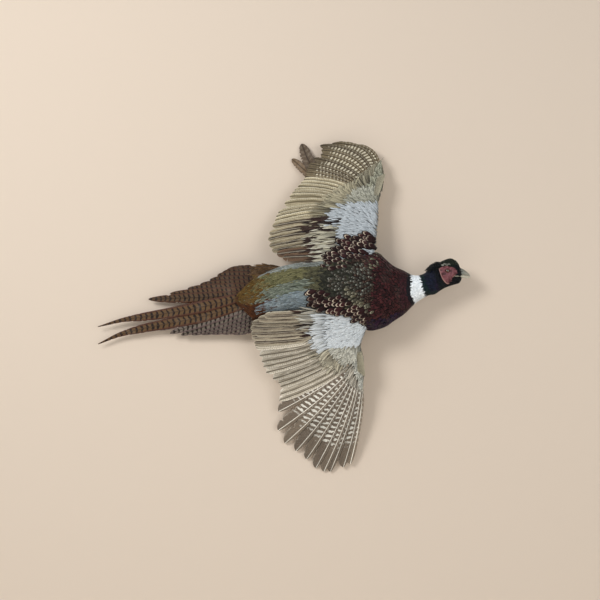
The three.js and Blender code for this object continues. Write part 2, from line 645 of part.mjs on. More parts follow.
// ---- hanger: a steel plate with a keyhole slot, and the rod that carries the body --------
const plateShape = new THREE.Shape();
const halfWide = HANGER.width / 2;
const halfTall = HANGER.height / 2;
plateShape.moveTo(-halfWide + HANGER.corner, -halfTall);
for (const [sx, sz] of [[1, -1], [1, 1], [-1, 1], [-1, -1]]) {
  const turn = Math.atan2(sz, sx) - Math.PI / 4;
  plateShape.absarc(sx * (halfWide - HANGER.corner), sz * (halfTall - HANGER.corner),
    HANGER.corner, turn, turn + Math.PI / 2);
}
const keyhole = new THREE.Path();
const slotX = halfWide - HANGER.slotIn;
keyhole.absarc(slotX, HANGER.slotFoot, HANGER.slotWidth, Math.PI * 0.833, Math.PI * 2.167, false);
keyhole.absarc(slotX, HANGER.slotTop, HANGER.slotWidth / 2, 0, Math.PI, false);
plateShape.holes.push(keyhole);
const plate = new THREE.ExtrudeGeometry(
  plateShape, { depth: HANGER.thick, bevelEnabled: false, curveSegments: 3 });
plate.rotateX(Math.PI / 2);
addPart('hanger_plate', plate, STEEL);

const rod = new THREE.CylinderGeometry(
  HANGER.rodRadius, HANGER.rodRadius, HANGER.rodLength, 16);
rod.translate(0, -HANGER.thick - GAP - HANGER.rodLength / 2, 0);
addPart('hanger_rod', fromSolid(solid(rod).subtract(trunkClearance)), STEEL);

export default bird;
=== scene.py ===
import math

import bmesh
import bpy
import numpy as np
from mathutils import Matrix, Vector
from mathutils.bvhtree import BVHTree
from mathutils.kdtree import KDTree


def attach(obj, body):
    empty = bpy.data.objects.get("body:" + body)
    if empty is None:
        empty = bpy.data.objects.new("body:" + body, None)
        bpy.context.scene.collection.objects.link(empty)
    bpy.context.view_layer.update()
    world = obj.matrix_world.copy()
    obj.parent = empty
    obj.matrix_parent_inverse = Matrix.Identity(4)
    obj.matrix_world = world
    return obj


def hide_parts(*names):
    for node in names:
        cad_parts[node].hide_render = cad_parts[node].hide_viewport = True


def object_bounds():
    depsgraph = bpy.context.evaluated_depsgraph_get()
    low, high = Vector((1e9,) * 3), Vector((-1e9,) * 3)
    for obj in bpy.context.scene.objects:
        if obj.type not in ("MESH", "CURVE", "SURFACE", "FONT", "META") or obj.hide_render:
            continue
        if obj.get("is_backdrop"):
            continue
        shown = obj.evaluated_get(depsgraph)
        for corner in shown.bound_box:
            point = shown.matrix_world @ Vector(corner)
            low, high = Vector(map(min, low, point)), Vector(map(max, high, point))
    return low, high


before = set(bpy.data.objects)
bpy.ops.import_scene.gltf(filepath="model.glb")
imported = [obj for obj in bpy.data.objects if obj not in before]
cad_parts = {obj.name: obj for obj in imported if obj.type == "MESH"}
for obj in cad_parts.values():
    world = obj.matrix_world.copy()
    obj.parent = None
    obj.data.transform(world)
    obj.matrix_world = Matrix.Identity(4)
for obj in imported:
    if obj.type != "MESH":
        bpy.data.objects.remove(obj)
solid_corners = [list(corner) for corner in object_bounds()]
MM = 0.001

# ---- studio ---------------------------------
# A plain pale wall just behind the hanger, a pale floor well below, and soft lamps. The wall
# is seen and lit from its front only, so the bird's underside shows from behind it.
CAMERA_AT = Vector((-67.7, -2600, -18.1)) * MM
WALL_IN_VIEW = 1355 * MM          # width of wall that the picture takes in
WALL_BEHIND = 0.6 * MM
FLOOR_AT = -0.86
WALL_COLOUR = (0.64, 0.545, 0.45, 1)
FLOOR_COLOUR = (0.72, 0.68, 0.62, 1)
ROOM_COLOUR, ROOM_LIGHT = (0.93, 0.96, 1, 1), 0.5
LAMPS = [                         # name, place and width in metres, and watts
    ("key", (-1.35, -2.0, 1.0), 0.8, 37), ("fill", (1.5, -2.2, 0.2), 1.6, 17),
    ("rear_key", (-1.2, 2.0, 1.2), 1.2, 30), ("rear_fill", (1.5, 1.8, 0.5), 1.6, 20)]

camera = bpy.data.objects.new("camera", bpy.data.cameras.new("camera"))
camera.location = CAMERA_AT
camera.rotation_euler = (math.pi / 2, 0, 0)
camera.data.angle = 2 * math.atan(WALL_IN_VIEW / 2 / -CAMERA_AT.y)
camera.data.clip_start, camera.data.clip_end = 0.05, 20
bpy.context.scene.collection.objects.link(camera)
bpy.context.scene.camera = camera
bpy.context.scene.view_settings.view_transform = "Standard"


def add_node(tree, kind, inputs=(), **settings):
    """A node with its settings, and its inputs as numbers or as links from other nodes."""
    node = tree.nodes.new(kind if "Node" in kind else "ShaderNode" + kind)
    for name, value in settings.items():
        setattr(node, name, value)
    for name, value in dict(inputs).items():
        value = getattr(value, "socket", value)
        if isinstance(value, bpy.types.NodeSocket):
            tree.links.new(value, node.inputs[name])
        else:
            node.inputs[name].default_value = value
    return node


def new_material(name, **finish):
    """A plain surface with its finish set, its node tree and its shader."""
    material = bpy.data.materials.new(name)
    material.use_nodes = True
    shader = material.node_tree.nodes["Principled BSDF"]
    for part, value in finish.items():
        shader.inputs[part.replace("_", " ")].default_value = value
    return material, material.node_tree, shader


def new_mesh(name, points, faces, smooth=True):
    mesh = bpy.data.meshes.new(name)
    mesh.from_pydata(np.asarray(points, float).reshape(-1, 3).tolist(), [], faces)
    if smooth:
        mesh.shade_smooth()
    return mesh


def new_object(name, mesh, *materials):
    piece = bpy.data.objects.new(name, mesh)
    bpy.context.scene.collection.objects.link(piece)
    for material in materials:
        mesh.materials.append(material)
    return piece


def studio_plane(name, corners, colour):
    material, tree, paint = new_material(
        name, Base_Color=colour, Roughness=0.9, Specular_IOR_Level=0.15)
    new_object(name, new_mesh(name, corners, [(0, 1, 2, 3)]), material)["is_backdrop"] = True
    return tree, paint


SQUARE = ((-1, -1), (1, -1), (1, 1), (-1, 1))
wall_tree, wall_paint = studio_plane(
    "studio_wall", [(4 * u, WALL_BEHIND, 4 * v) for u, v in SQUARE], WALL_COLOUR)
studio_plane("studio_floor", [(9 * u, 9 * v, FLOOR_AT) for u, v in SQUARE], FLOOR_COLOUR)
clear = add_node(wall_tree, "BsdfTransparent")
behind = add_node(wall_tree, "NewGeometry").outputs["Backfacing"]
shadow = add_node(wall_tree, "LightPath").outputs["Is Shadow Ray"]
unseen = add_node(wall_tree, "Math", {0: behind, 1: shadow}, operation="MAXIMUM")
one_sided = add_node(wall_tree, "MixShader", {
    0: unseen.outputs[0], 1: wall_paint.outputs[0], 2: clear.outputs[0]})
wall_tree.links.new(one_sided.outputs[0], wall_tree.nodes["Material Output"].inputs["Surface"])

for name, place, size, power in LAMPS:
    lamp = bpy.data.lights.new(name, "AREA")
    lamp.size, lamp.energy = size, power
    lamp_object = bpy.data.objects.new(name, lamp)
    lamp_object.location = place
    lamp_object.rotation_euler = (-Vector(place)).to_track_quat("-Z", "Y").to_euler()
    bpy.context.scene.collection.objects.link(lamp_object)
world = bpy.data.worlds.new("room")
world.use_nodes = True
room = world.node_tree.nodes["Background"].inputs
room["Color"].default_value, room["Strength"].default_value = ROOM_COLOUR, ROOM_LIGHT
bpy.context.scene.world = world

# ---- skin -----------------------------------
# The tanned skin drawn over a carved body, neck, head and wing arms, in one sheet without
# a seam. All feathers grow on it. Its stations run from the rump to the root of the bill.
COAT_DEPTH = 3.2 * MM             # how far the body's skin lies under the feather tips
HEAD_COAT_DEPTH = 1.1 * MM
SKIN_VOXEL = 2.0 * MM
BODY = MM * np.array([            # upper edge x z, lower edge x z, back and belly off the wall
    (-190, 10, -190, -42, 57, 48), (-170, 28, -172, -57, 68, 45),
    (-148, 40, -149, -53, 80, 39), (-126, 49, -126, -47, 90, 31),
    (-88, 60, -88, -43, 103, 23), (-50, 66, -50, -43, 112, 17),
    (0, 71, 0, -50, 122, 13), (43, 79, 43, -65, 129, 12),
    (84, 86, 84, -84, 128, 12), (104, 84, 106, -81, 122, 14),
    (121, 70, 122, -75, 114, 18), (138, 56, 139, -63, 104, 24),
    (160, 46, 162, -48, 94, 31), (181, 36, 186, -25, 85, 36),
    (196, 36, 216, -7, 80.5, 40), (210, 42, 229, -5, 79, 41.5),
    (222, 54, 241, 3, 78, 42.5), (236, 62, 253, 10, 77, 44),
    (250, 69, 264, 14, 76, 45), (265, 73, 274, 17, 74, 47),
    (277.5, 66.5, 282.5, 19.5, 71.5, 49.5), (283, 58.5, 288, 27, 68.5, 53),
    (286.5, 53, 290, 33, 66, 56),
])
LAST_STATION = len(BODY) - 1
NECK_STATION, HEAD_STATION = 12.4, 16.2
BODY_SQUARE = 2.25
# Each wing as a plate off the wall that rises, falls and curves outwards, then the front and
# rear edges of its fleshy arm and hand as x and z in mm.
WINGS = {
    "left": dict(
        side=1, root_height=78, rise=20, root_z=60, fall=0.18, camber=35, lead_x=110,
        arm_lead=[(84, 60), (98, 92), (102, 124), (106, 162), (107, 200), (114, 220)],
        arm_trail=[(-34, 58), (-24, 78), (-39, 122), (-28, 168), (9, 202), (46, 226)],
        hand_lead=[(114.5, 221.5), (118, 256), (114, 283)],
        hand_trail=[(47.5, 227.5), (80, 259), (104, 284)]),
    "right": dict(
        side=-1, root_height=88, rise=14, root_z=50, fall=0.22, camber=30, lead_x=80,
        arm_lead=[(92, -58), (78, -82), (69, -104), (66, -120), (72, -140)],
        arm_trail=[(-60, -38), (-55, -73), (-48, -102), (-20, -136), (33, -167)],
        hand_lead=[(72.3, -141.5), (73, -172), (71, -210)],
        hand_trail=[(34.5, -168.5), (50, -192), (62, -213)]),
}
WING_CHORD = 240
RISE_REACH = 45
FLESH = {"arm": (24, 10), "hand": (10, 5)}     # how thick, at the inner and the outer end
PLATE_EDGE = 0.9
PLATE_REACH = {"arm": (-0.12, 1.02), "hand": (-0.1, 0.97)}
PLATE_ROWS, PLATE_COLUMNS = 24, 14
SKIN_ROWS, SKIN_SPOKES = 150, 72
LEG_MIDDLE = 5                    # height of the belly's middle line
# Each thigh's middle line as x, y and how far out it is, and its radius along it.
THIGH = [(20, -30, 33), (-50, -25, 31), (-84, -19, 28), (-101, -15.2, 27)]
THIGH_RADII = ([0, 0.45, 0.8, 1], [15, 12.5, 6.5, 4.2])
THIGH_ROWS, THIGH_SPOKES = 20, 16


def smooth_line(points):
    """A smooth curve through points, read at t from 0 to 1, and straight beyond its ends."""
    points = np.asarray(points, float)
    last = len(points) - 1
    ends = np.vstack([2 * points[0] - points[1], points, 2 * points[-1] - points[-2]])
    gaps = np.linalg.norm(np.diff(ends, axis=0), axis=1) ** 0.5

    def at(t):
        inside = np.clip(t, 0, 1)
        i = np.minimum((inside * last).astype(int), last - 1)
        u = (inside * last - i)[..., None]
        p0, p1, p2, p3 = (ends[i + k] for k in range(4))
        d0, d1, d2 = (gaps[i + k][..., None] for k in range(3))
        m1 = d1 * ((p1 - p0) / d0 - (p2 - p0) / (d0 + d1) + (p2 - p1) / d1)
        m2 = d1 * ((p2 - p1) / d1 - (p3 - p1) / (d1 + d2) + (p3 - p2) / d2)
        here = p1 + u * m1 + u**2 * (3 * (p2 - p1) - 2 * m1 - m2) \
            + u**3 * (2 * (p1 - p2) + m1 + m2)
        over = ((t - inside) * last)[..., None]
        before, after = points[1] - points[0], points[-1] - points[-2]
        return here + np.minimum(over, 0) * before + np.maximum(over, 0) * after
    return at


def mix(first, second, share):
    return first + (second - first) * share


def ease(value, low, high):
    """0 below low, 1 above high, and smooth between."""
    u = np.clip((value - low) / (high - low), 0, 1)
    return u * u * (3 - 2 * u)


upper_edge = smooth_line(np.c_[BODY[:, 0], -(BODY[:, 4] + BODY[:, 5]) / 2, BODY[:, 1]])
lower_edge = smooth_line(np.c_[BODY[:, 2], (BODY[:, 4] - BODY[:, 5]) / 2, BODY[:, 3]])


def body_at(station, angle, grow=0.0):
    """A point on the body. The angle turns from its upper edge over its back."""
    upper = upper_edge(station / LAST_STATION)
    lower = lower_edge(station / LAST_STATION)
    centre = (upper + lower) / 2
    centre[..., 1] = upper[..., 1]
    across = upper - centre
    half = np.linalg.norm(across, axis=-1)
    across *= ((half + grow) / half)[..., None]
    wide, deep = (np.sign(v) * np.abs(v) ** (2 / BODY_SQUARE)
                  for v in (np.cos(angle), np.sin(angle)))
    point = centre + across * wide[..., None]
    point[..., 1] -= (lower[..., 1] + grow) * deep
    return point


def wing_height(wing, x, z):
    """How far the middle of a wing is off the wall, in millimetres."""
    outward = z * wing["side"] - wing["root_z"]
    behind = np.maximum(wing["lead_x"] - x, 0) / WING_CHORD
    return (wing["root_height"] + wing["rise"] * np.exp(-outward / RISE_REACH)
            - wing["fall"] * outward - wing["camber"] * behind**2)


def plate_at(wing, part, along, back, over, grow):
    """A point on the arm or hand, over it or under it, in metres. Grow is in millimetres."""
    lead = smooth_line(wing[part + "_lead"])(along)
    trail = smooth_line(wing[part + "_trail"])(along)
    x, z = np.moveaxis(lead + (trail - lead) * back[..., None], -1, 0)
    inside = np.clip(back, 0, 1)
    flesh = mix(*FLESH[part], np.clip(along, 0, 1))
    wide = PLATE_EDGE + flesh * np.sqrt(inside) * (1 - inside) ** 1.4 + grow
    return MM * np.stack([x, -wing_height(wing, x, z) + wide * (-1 if over else 0.8), z], -1)


def grid_faces(rows, columns, closed=False, flip=False):
    """Quads over a grid of points, row by row."""
    faces = []
    for r in range(rows - 1):
        for c in range(columns if closed else columns - 1):
            n = (c + 1) % columns
            quad = (r * columns + c, (r + 1) * columns + c, (r + 1) * columns + n, r * columns + n)
            faces.append(quad[::-1] if flip else quad)
    return faces


def all_round(count):
    return np.linspace(0, 2 * math.pi, count, endpoint=False)


def loft_parts(parts):
    """Closed tubes of rings [rows, columns, 3] as one list of points and one of faces."""
    points, faces = [], []
    for rings in parts:
        rows, columns = rings.shape[:2]
        start = sum(len(p) for p in points)
        ends = [tuple(range(columns)), tuple((rows - 1) * columns + i for i in range(columns))]
        flat = rings.reshape(-1, 3)
        body = grid_faces(rows, columns, closed=True) + [ends[0], ends[1][::-1]]
        a, b, c = (flat[[face[k] for face in body]] for k in range(3))
        outward = np.einsum("ij,ij->", a - flat.mean(0), np.cross(b - a, c - a))
        points.append(flat)
        faces += [tuple(start + i for i in (face if outward > 0 else face[::-1]))
                  for face in body]
    return np.vstack(points), faces


def plain_mesh(piece, name):
    """The mesh that an object's modifiers make of it. The object itself is let go."""
    mesh = bpy.data.meshes.new_from_object(
        piece.evaluated_get(bpy.context.evaluated_depsgraph_get()))
    mesh.name = name
    piece.modifiers.clear()
    bpy.data.objects.remove(piece)
    return mesh


def plate_rings(wing, part, reach):
    """The flesh of an arm or hand as rings, its top and then its underside."""
    along, back = np.meshgrid(np.linspace(*reach, PLATE_ROWS),
                              np.linspace(0.04, 0.84, PLATE_COLUMNS), indexing="ij")
    over, under = (plate_at(wing, part, along, back, top, -0.9) for top in (True, False))
    return np.concatenate([over, under[:, ::-1]], 1)


stations, angles = np.meshgrid(
    np.linspace(0, LAST_STATION, SKIN_ROWS), all_round(SKIN_SPOKES), indexing="ij")
skin_rings = body_at(stations, angles, -mix(COAT_DEPTH, HEAD_COAT_DEPTH, ease(stations, 14, 17)))
thigh_shares, turn = np.linspace(0, 1, THIGH_ROWS), all_round(THIGH_SPOKES)
radius = MM * np.interp(thigh_shares, *THIGH_RADII)[:, None, None]
thigh_rings = []
for side in (1, -1):
    line = smooth_line(MM * np.array([
        (x, y, LEG_MIDDLE + side * outwards) for x, y, outwards in THIGH]))(thigh_shares)
    thigh_rings.append(line[:, None] + radius * np.stack(
        [0 * turn, np.cos(turn), np.sin(turn)], -1)[None])
skin_points, skin_faces = loft_parts(
    [skin_rings, *thigh_rings] + [plate_rings(wing, part, reach) for wing in WINGS.values()
                                  for part, reach in PLATE_REACH.items()])
form = new_object("form", new_mesh("rough_form", skin_points, skin_faces))
remesh = form.modifiers.new("one sheet", "REMESH")
remesh.mode, remesh.voxel_size, remesh.use_smooth_shade = "VOXEL", SKIN_VOXEL, True
settle = form.modifiers.new("settle", "SMOOTH")
settle.factor, settle.iterations = 0.5, 6
skin_mesh = plain_mesh(form, "skin")


def paint(code):
    """A colour as mixed for plumage, from its web code to linear light."""
    values = np.array([int(code[i:i + 2], 16) for i in (1, 3, 5)]) / 255
    return np.where(values <= 0.04045, values / 12.92, ((values + 0.055) / 1.055) ** 2.4)


class Flow:
    """A value on its way through a node tree, to reckon with as with a number."""

    def __init__(self, socket):
        self.socket, self.tree = socket, socket.id_data

    __add__ = __radd__ = lambda self, other: calc("ADD", self, other)
    __mul__ = __rmul__ = lambda self, other: calc("MULTIPLY", self, other)
    __sub__ = lambda self, other: calc("SUBTRACT", self, other)
    __rsub__ = lambda self, other: calc("SUBTRACT", other, self)
    __truediv__ = lambda self, other: calc("DIVIDE", self, other)
    __pow__ = lambda self, other: calc("POWER", self, other)
    __abs__ = lambda self: calc("ABSOLUTE", self)


def flow(tree, kind, inputs=(), output=0, **settings):
    """One output of a new node, to reckon with or to pass on."""
    return Flow(add_node(tree, kind, inputs, **settings).outputs[output])


def calc(operation, *values):
    tree = next(value.tree for value in values if isinstance(value, Flow))
    return flow(tree, "Math", dict(enumerate(values)), operation=operation)


def fade(value, low, high):
    """0 below low, 1 above high, and smooth between, as a node."""
    return flow(value.tree, "MapRange", {0: value, 1: low, 2: high},
                interpolation_type="SMOOTHSTEP")


def tint(share, first, second, way="MIX"):
    """One colour laid over another by a share. A colour is a web code or comes from a node."""
    first, second = ((*paint(c), 1) if isinstance(c, str) else c for c in (first, second))
    return flow(share.tree, "Mix", {0: share, 6: first, 7: second}, 2,
                data_type="RGBA", blend_type=way)


def noise(where, scale, detail, **more):
    return flow(where.tree, "TexNoise", {
        "Vector": where, "Scale": scale, "Detail": detail, **more}, "Fac")


def cells(where, scale, output="Distance"):
    return flow(where.tree, "TexVoronoi", {"Vector": where, "Scale": scale}, output)


def split(vector):
    return [Flow(part) for part in add_node(vector.tree, "SeparateXYZ", {0: vector}).outputs]


def stretched(where, scale):
    return flow(where.tree, "Mapping", {"Vector": where, "Scale": scale})


def place_in(tree):
    """Where a point is on the bird."""
    return flow(tree, "TexCoord", output="Object")


def read_attribute(tree, name, part="Color"):
    return flow(tree, "Attribute", output=part, attribute_name=name)


def send(value, socket):
    value.tree.links.new(value.socket, socket)


def raise_by(height, finish, strength, distance):
    """Fine relief on a surface, from a height in its nodes."""
    send(flow(height.tree, "Bump", {"Strength": strength, "Distance": distance,
                                    "Height": height}), finish.inputs["Normal"])


def new_group(name, inputs, outputs, kind="ShaderNodeTree"):
    """An empty node group with named sockets, given as name and kind."""
    group = bpy.data.node_groups.new(name, kind)
    for way, sockets in (("INPUT", inputs), ("OUTPUT", outputs)):
        for socket, kind in sockets.items():
            group.interface.new_socket(socket, in_out=way, socket_type="NodeSocket" + kind)
    given = group.nodes.new("NodeGroupInput").outputs
    return group, {socket.name: Flow(socket) for socket in given if socket.name}, \
        group.nodes.new("NodeGroupOutput").inputs


def place_group(tree, group, **values):
    """A group put to use in another tree, and its outputs by name."""
    node = add_node(tree, "Group", {
        name.replace("_", " "): value for name, value in values.items()}, node_tree=group)
    return {socket.name: Flow(socket) for socket in node.outputs}


# Dust and uneven fading that an old mount has all over: one group for every feathered
# surface, working from the place on the bird.
ageing, given, result = new_group(
    "ageing", {"Color": "Color", "Amount": "Float"}, {"Color": "Color"})
blotches = noise(place_in(ageing), 38.0, 4.0, Roughness=0.6)
send(tint(fade(blotches, 0.5, 0.8) * given["Amount"], given["Color"], (0.42, 0.37, 0.31, 1)),
     result["Color"])


def age(colour, amount):
    return place_group(colour.tree, ageing, Color=colour, Amount=amount)["Color"]


skin_material, tree, finish = new_material(
    "feathered_skin", Roughness=0.8, Specular_IOR_Level=0.2)
pores = cells(place_in(tree), 420.0)
mottled = tint(pores, read_attribute(tree, "ground"), (0.05, 0.04, 0.035, 1), "MULTIPLY")
send(age(mottled, 0.3), finish.inputs["Base Color"])
raise_by(pores, finish, 0.4, 0.0006)
skin = new_object("skin", skin_mesh, skin_material)

# ---- plumage of the trunk -------------------
# Small curved feathers, set in staggered rows from the rump forward so that each row's tips
# lie over the next row's roots. Every one is a closed thin vane with its own markings.
SHEET_STEP = 2 * MM
RING_POINTS = 128
VANE_ROWS = (0, 0.26, 0.5, 0.72, 0.89, 1)
VANE_COLUMNS = (-1, -0.5, 0, 0.5, 1)
SMALL_VANE_ROWS = (0, 0.4, 0.75, 1)
SMALL_VANE_COLUMNS = (-1, 0, 1)
PATCH = 0.003                     # side of a feather's patch on the coat's unwrap
ROW_SCATTER, RING_SCATTER = 0.16, 0.14     # shares of the gaps between roots
TURN_SCATTER = 0.09               # how far feathers turn from their row, in radians
AXIS_POINTS, RING_SAMPLES = 2000, 361


def make_sheet(points, closed=False, outward=1):
    """A surface that feathers lie on, as a grid of points and normals."""
    down = np.gradient(points, axis=0)
    across = ((np.roll(points, -1, 1) - np.roll(points, 1, 1)) / 2 if closed
              else np.gradient(points, axis=1))
    normals = np.cross(down, across) * outward
    normals /= np.maximum(np.linalg.norm(normals, axis=-1, keepdims=True), 1e-12)
    return dict(points=points, normals=normals, closed=closed)


def read_grid(grid, p, q, closed):
    rows, columns = grid.shape[:2]
    q = q % columns if closed else q
    i = np.clip(np.floor(p).astype(int), 0, rows - 2)
    j = np.clip(np.floor(q).astype(int), 0, columns - (1 if closed else 2))
    u, v = (p - i)[..., None], (q - j)[..., None]
    k = (j + 1) % columns
    return ((grid[i, j] * (1 - u) + grid[i + 1, j] * u) * (1 - v)
            + (grid[i, k] * (1 - u) + grid[i + 1, k] * u) * v)


def on_sheet(sheet, p, q, height=0.0):
    """Points at row p and column q, raised off the sheet. Off its ends it goes on straight."""
    points, normals, closed = sheet["points"], sheet["normals"], sheet["closed"]
    rows, columns = points.shape[:2]
    inside_q = q if closed else np.clip(q, 0, columns - 1)
    normal = read_grid(normals, np.clip(p, 0, rows - 1), inside_q, closed)
    return read_grid(points, p, q, closed) + normal * np.asarray(height)[..., None]


def vane_template(rows, columns):
    """One feather: each point's place along and across, its faces, and which are smooth."""
    along, across = np.meshgrid(rows, columns, indexing="ij")
    n, last = len(columns), len(rows) - 1
    top = grid_faces(len(rows), n)
    under = [(r * n, r * n + n - 1, (r + 1) * n + n - 1, (r + 1) * n) for r in range(last)]
    ends = [tuple(range(n)), tuple(last * n + i for i in reversed(range(n)))]
    smooth = np.arange(len(top) + last + 2) < len(top)
    return along.ravel(), across.ravel(), top + under + ends, smooth


def vane_outline(t):
    """Half width along a body feather, from its quill to its rounded tip."""
    full = 0.45 + 0.55 * ease(t, 0, 0.55)
    tip = np.sqrt(np.clip(1 - (np.clip(t - 0.5, 0, 1) / 0.53) ** 2.4, 0, 1))
    return full * tip


def unit(v):
    return v / np.maximum(np.linalg.norm(v, axis=-1, keepdims=True), 1e-12)


def fit(piece, slot, *replaces):
    """Fixes a finished piece to the bird, in place of the solids that it stands for."""
    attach(piece, "root")
    if replaces:
        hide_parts(*replaces)


def store(mesh, name, kind, field, values):
    """Writes a value for each point of a mesh, for its material to read."""
    mesh.attributes.new(name, kind, "POINT").data.foreach_set(
        field, values.reshape(-1).astype(np.float32))


def join_vanes(name, points, faces, smooth, stored, spots, material, slot, replaces):
    """One vane's faces over the points of each feather, with what its material reads."""
    count, size = points.shape[:2]
    totals = np.tile([len(face) for face in faces], count)
    corners = np.concatenate([np.array(face) for face in faces])
    corners = (corners[None] + (np.arange(count) * size)[:, None]).ravel()
    mesh = bpy.data.meshes.new(name)
    mesh.vertices.add(count * size)
    mesh.vertices.foreach_set("co", points.reshape(-1).astype(np.float32))
    mesh.loops.add(len(corners))
    mesh.loops.foreach_set("vertex_index", corners.astype(np.int32))
    mesh.polygons.add(len(totals))
    mesh.polygons.foreach_set("loop_start", (np.cumsum(totals) - totals).astype(np.int32))
    mesh.update(calc_edges=True)
    mesh.polygons.foreach_set("use_smooth", np.tile(smooth, count))
    for key, value in stored.items():
        value = np.broadcast_to(value.reshape(count, -1, 3), (count, size, 3))
        if key in ("ground", "mark", "rim"):
            store(mesh, key, "FLOAT_COLOR", "color",
                  np.concatenate([value, np.ones((count, size, 1))], -1))
        else:
            store(mesh, key, "FLOAT_VECTOR", "vector", value)
    mesh.uv_layers.new(name="OFBake").data.foreach_set(
        "uv", spots.reshape(-1, 2)[corners].reshape(-1).astype(np.float32))
    mesh.validate()
    fit(new_object(name, mesh, material), slot, *replaces)


FEATHER = vane_template(VANE_ROWS, VANE_COLUMNS)
SMALL_FEATHER = vane_template(SMALL_VANE_ROWS, SMALL_VANE_COLUMNS)
coat_roots = []


def dot(first, second):
    return np.einsum("...j,...j->...", first, second)


def lay_feathers(name, sheet, p, q, down, look, size, turn, rng, material, slot, replaces=(),
                 root=-2.6, tip=0.6, cup=0.3, bend=0.0, ragged=0.0, template=FEATHER,
                 toward=None, unwrap=None, sound=None):
    """One piece of the coat: feathers with their roots at rows p and columns q of a sheet.
    Root and tip are how high each end is off the sheet, in mm."""
    along, across, faces, smooth = template
    rows, columns = sheet["points"].shape[:2]
    rows_way = on_sheet(sheet, p + 0.5, q) - on_sheet(sheet, p - 0.5, q)
    columns_way = on_sheet(sheet, p, q + 0.5) - on_sheet(sheet, p, q - 0.5)
    normal = unit(np.cross(rows_way, columns_way))
    normal *= np.sign(dot(normal, on_sheet(sheet, p, q, 1.0) - on_sheet(sheet, p, q)))[:, None]
    straight = unit(down[0] * rows_way + down[1] * columns_way)
    if toward is not None:
        straight = unit(toward - normal * dot(toward, normal)[:, None])
    turn, length, width, root, tip, bend = (
        np.broadcast_to(v, p.shape)[:, None]
        for v in (turn, *size.T, root * MM, tip * MM, bend))
    ahead = np.cos(turn) * straight + np.sin(turn) * np.cross(normal, straight)
    e, f, g = dot(rows_way, rows_way), dot(rows_way, columns_way), dot(columns_way, columns_way)

    def in_grid(way):
        a, b = dot(way, rows_way), dot(way, columns_way)
        return (np.stack([g * a - f * b, e * b - f * a]) / (e * g - f * f))[..., None]

    half = width / 2 * vane_outline(along)
    reach = length * (along - 0.07 * along**3 * across**2)
    if ragged:
        reach = reach + length * ragged * along**4 * rng.uniform(-1, 1, (len(p), len(along)))
    aside = half * across
    sideways = aside + bend * length * along**2
    height = root + (tip - root) * along**0.7 + cup * half * (1 - across**2)
    at = np.stack([p, q])[..., None] + reach * in_grid(ahead) + sideways * in_grid(
        np.cross(normal, ahead))
    points = on_sheet(sheet, *at, height)
    spots = 0.02 + 0.96 * np.stack(unwrap or (p / rows, q % columns / columns), -1)
    if sound is not None:
        kept = sound(points)
        points, reach, aside, spots = points[kept], reach[kept], aside[kept], spots[kept]
        look = {key: value[kept] for key, value in look.items()}
    seeds = np.random.default_rng(7).random((len(points), 1))
    lie = np.stack(np.broadcast_arrays(across, along, seeds), -1)
    real = np.stack([aside / MM, reach / MM, lie[..., 2] * 90], -1)
    coat_roots.append((points.mean(1), look["ground"]))
    spots = spots[:, None] + PATCH * np.stack([across / 2, along - 0.5], -1)
    join_vanes(name, points, faces, smooth, {"lie": lie, "real": real, **look}, spots,
               material, slot, replaces)


# The markings of a body feather: fine barbs, a spot or a crescent near the tip, wavy bars,
# and a darker or paler edge, with painted shade towards its root where the next row covers it.
# It reads where a point is on its own feather.
VANE_SOCKETS = {"Lie": "Vector", "Real": "Vector", "Signs": "Vector", "Edge": "Vector",
                "Ground": "Color", "Mark": "Color", "Rim": "Color"}
markings, given, result = new_group(
    "feather_markings", VANE_SOCKETS, {"Color": "Color", "Height": "Float"})


def read_feather(given):
    """Across, along and seed on a feather, then its place in mm, its signs and its edge."""
    return (split(given[name]) for name in ("Lie", "Real", "Signs", "Edge"))


(across, along, seed), real, signs, edge = read_feather(given)
side = abs(across)
outer = calc("MAXIMUM", along - 0.45, 0.0) / 0.55
wobble = noise(given["Real"], 0.55, 2.0) - 0.5
to_edge = (side ** 3.0 + outer ** 3.0) ** 0.333 + wobble * 0.3
bars = fade(calc("SINE", real[1] * 2.9 + wobble * 16.0), -0.1, 0.5) * signs[2]
crescent = (fade(to_edge, 0.54, 0.6) - fade(to_edge, 0.7, 0.76)) * fade(
    along, 0.55, 0.68) * (1.0 - fade(side, 0.6, 0.85)) * signs[1]
rim = fade(to_edge, 0.72, 0.92) * edge[0] * fade(along, 0.25, 0.5)
barbs = calc("SINE", real[1] * 5.2 - abs(real[0]) * 6.5 + wobble * 5.0)
shaft = (1.0 - fade(abs(real[0]), 0.1, 0.32)) * edge[1]
colour = tint(bars, given["Ground"], given["Mark"])
colour = tint(crescent, tint(rim, colour, given["Rim"]), given["Mark"])
colour = tint(shaft, colour, given["Rim"])
# Tone varies at random from feather to feather. The rise along it is painted shade: darker at the
# root, where the next row lies over it.
shade = (seed - 0.5) * (0.76 - edge[2]) + fade(along, 0.15, 0.75) * 0.3 + barbs * 0.1 + 0.68
send(flow(markings, "VectorMath", {0: colour, 3: shade}, operation="SCALE"), result["Color"])
send(barbs, result["Height"])


def vane_material(name, marks, dust, relief, values, **finish):
    """A feather's material: its markings, dusted, with its barbs a little raised."""
    material, tree, shader = new_material(name, **finish)
    read = {key: read_attribute(tree, key.lower(), kind)
            for key, kind in VANE_SOCKETS.items()}
    marked = place_group(tree, marks, **read, **values)
    send(age(marked["Color"], dust), shader.inputs["Base Color"])
    raise_by(marked["Height"], shader, *relief)
    return material


def plumage_material(name, roughness, dust, gloss, sheen):
    return vane_material(name, markings, dust, (0.3, 0.0002), {}, Roughness=roughness,
                         Specular_IOR_Level=gloss, Sheen_Weight=sheen)


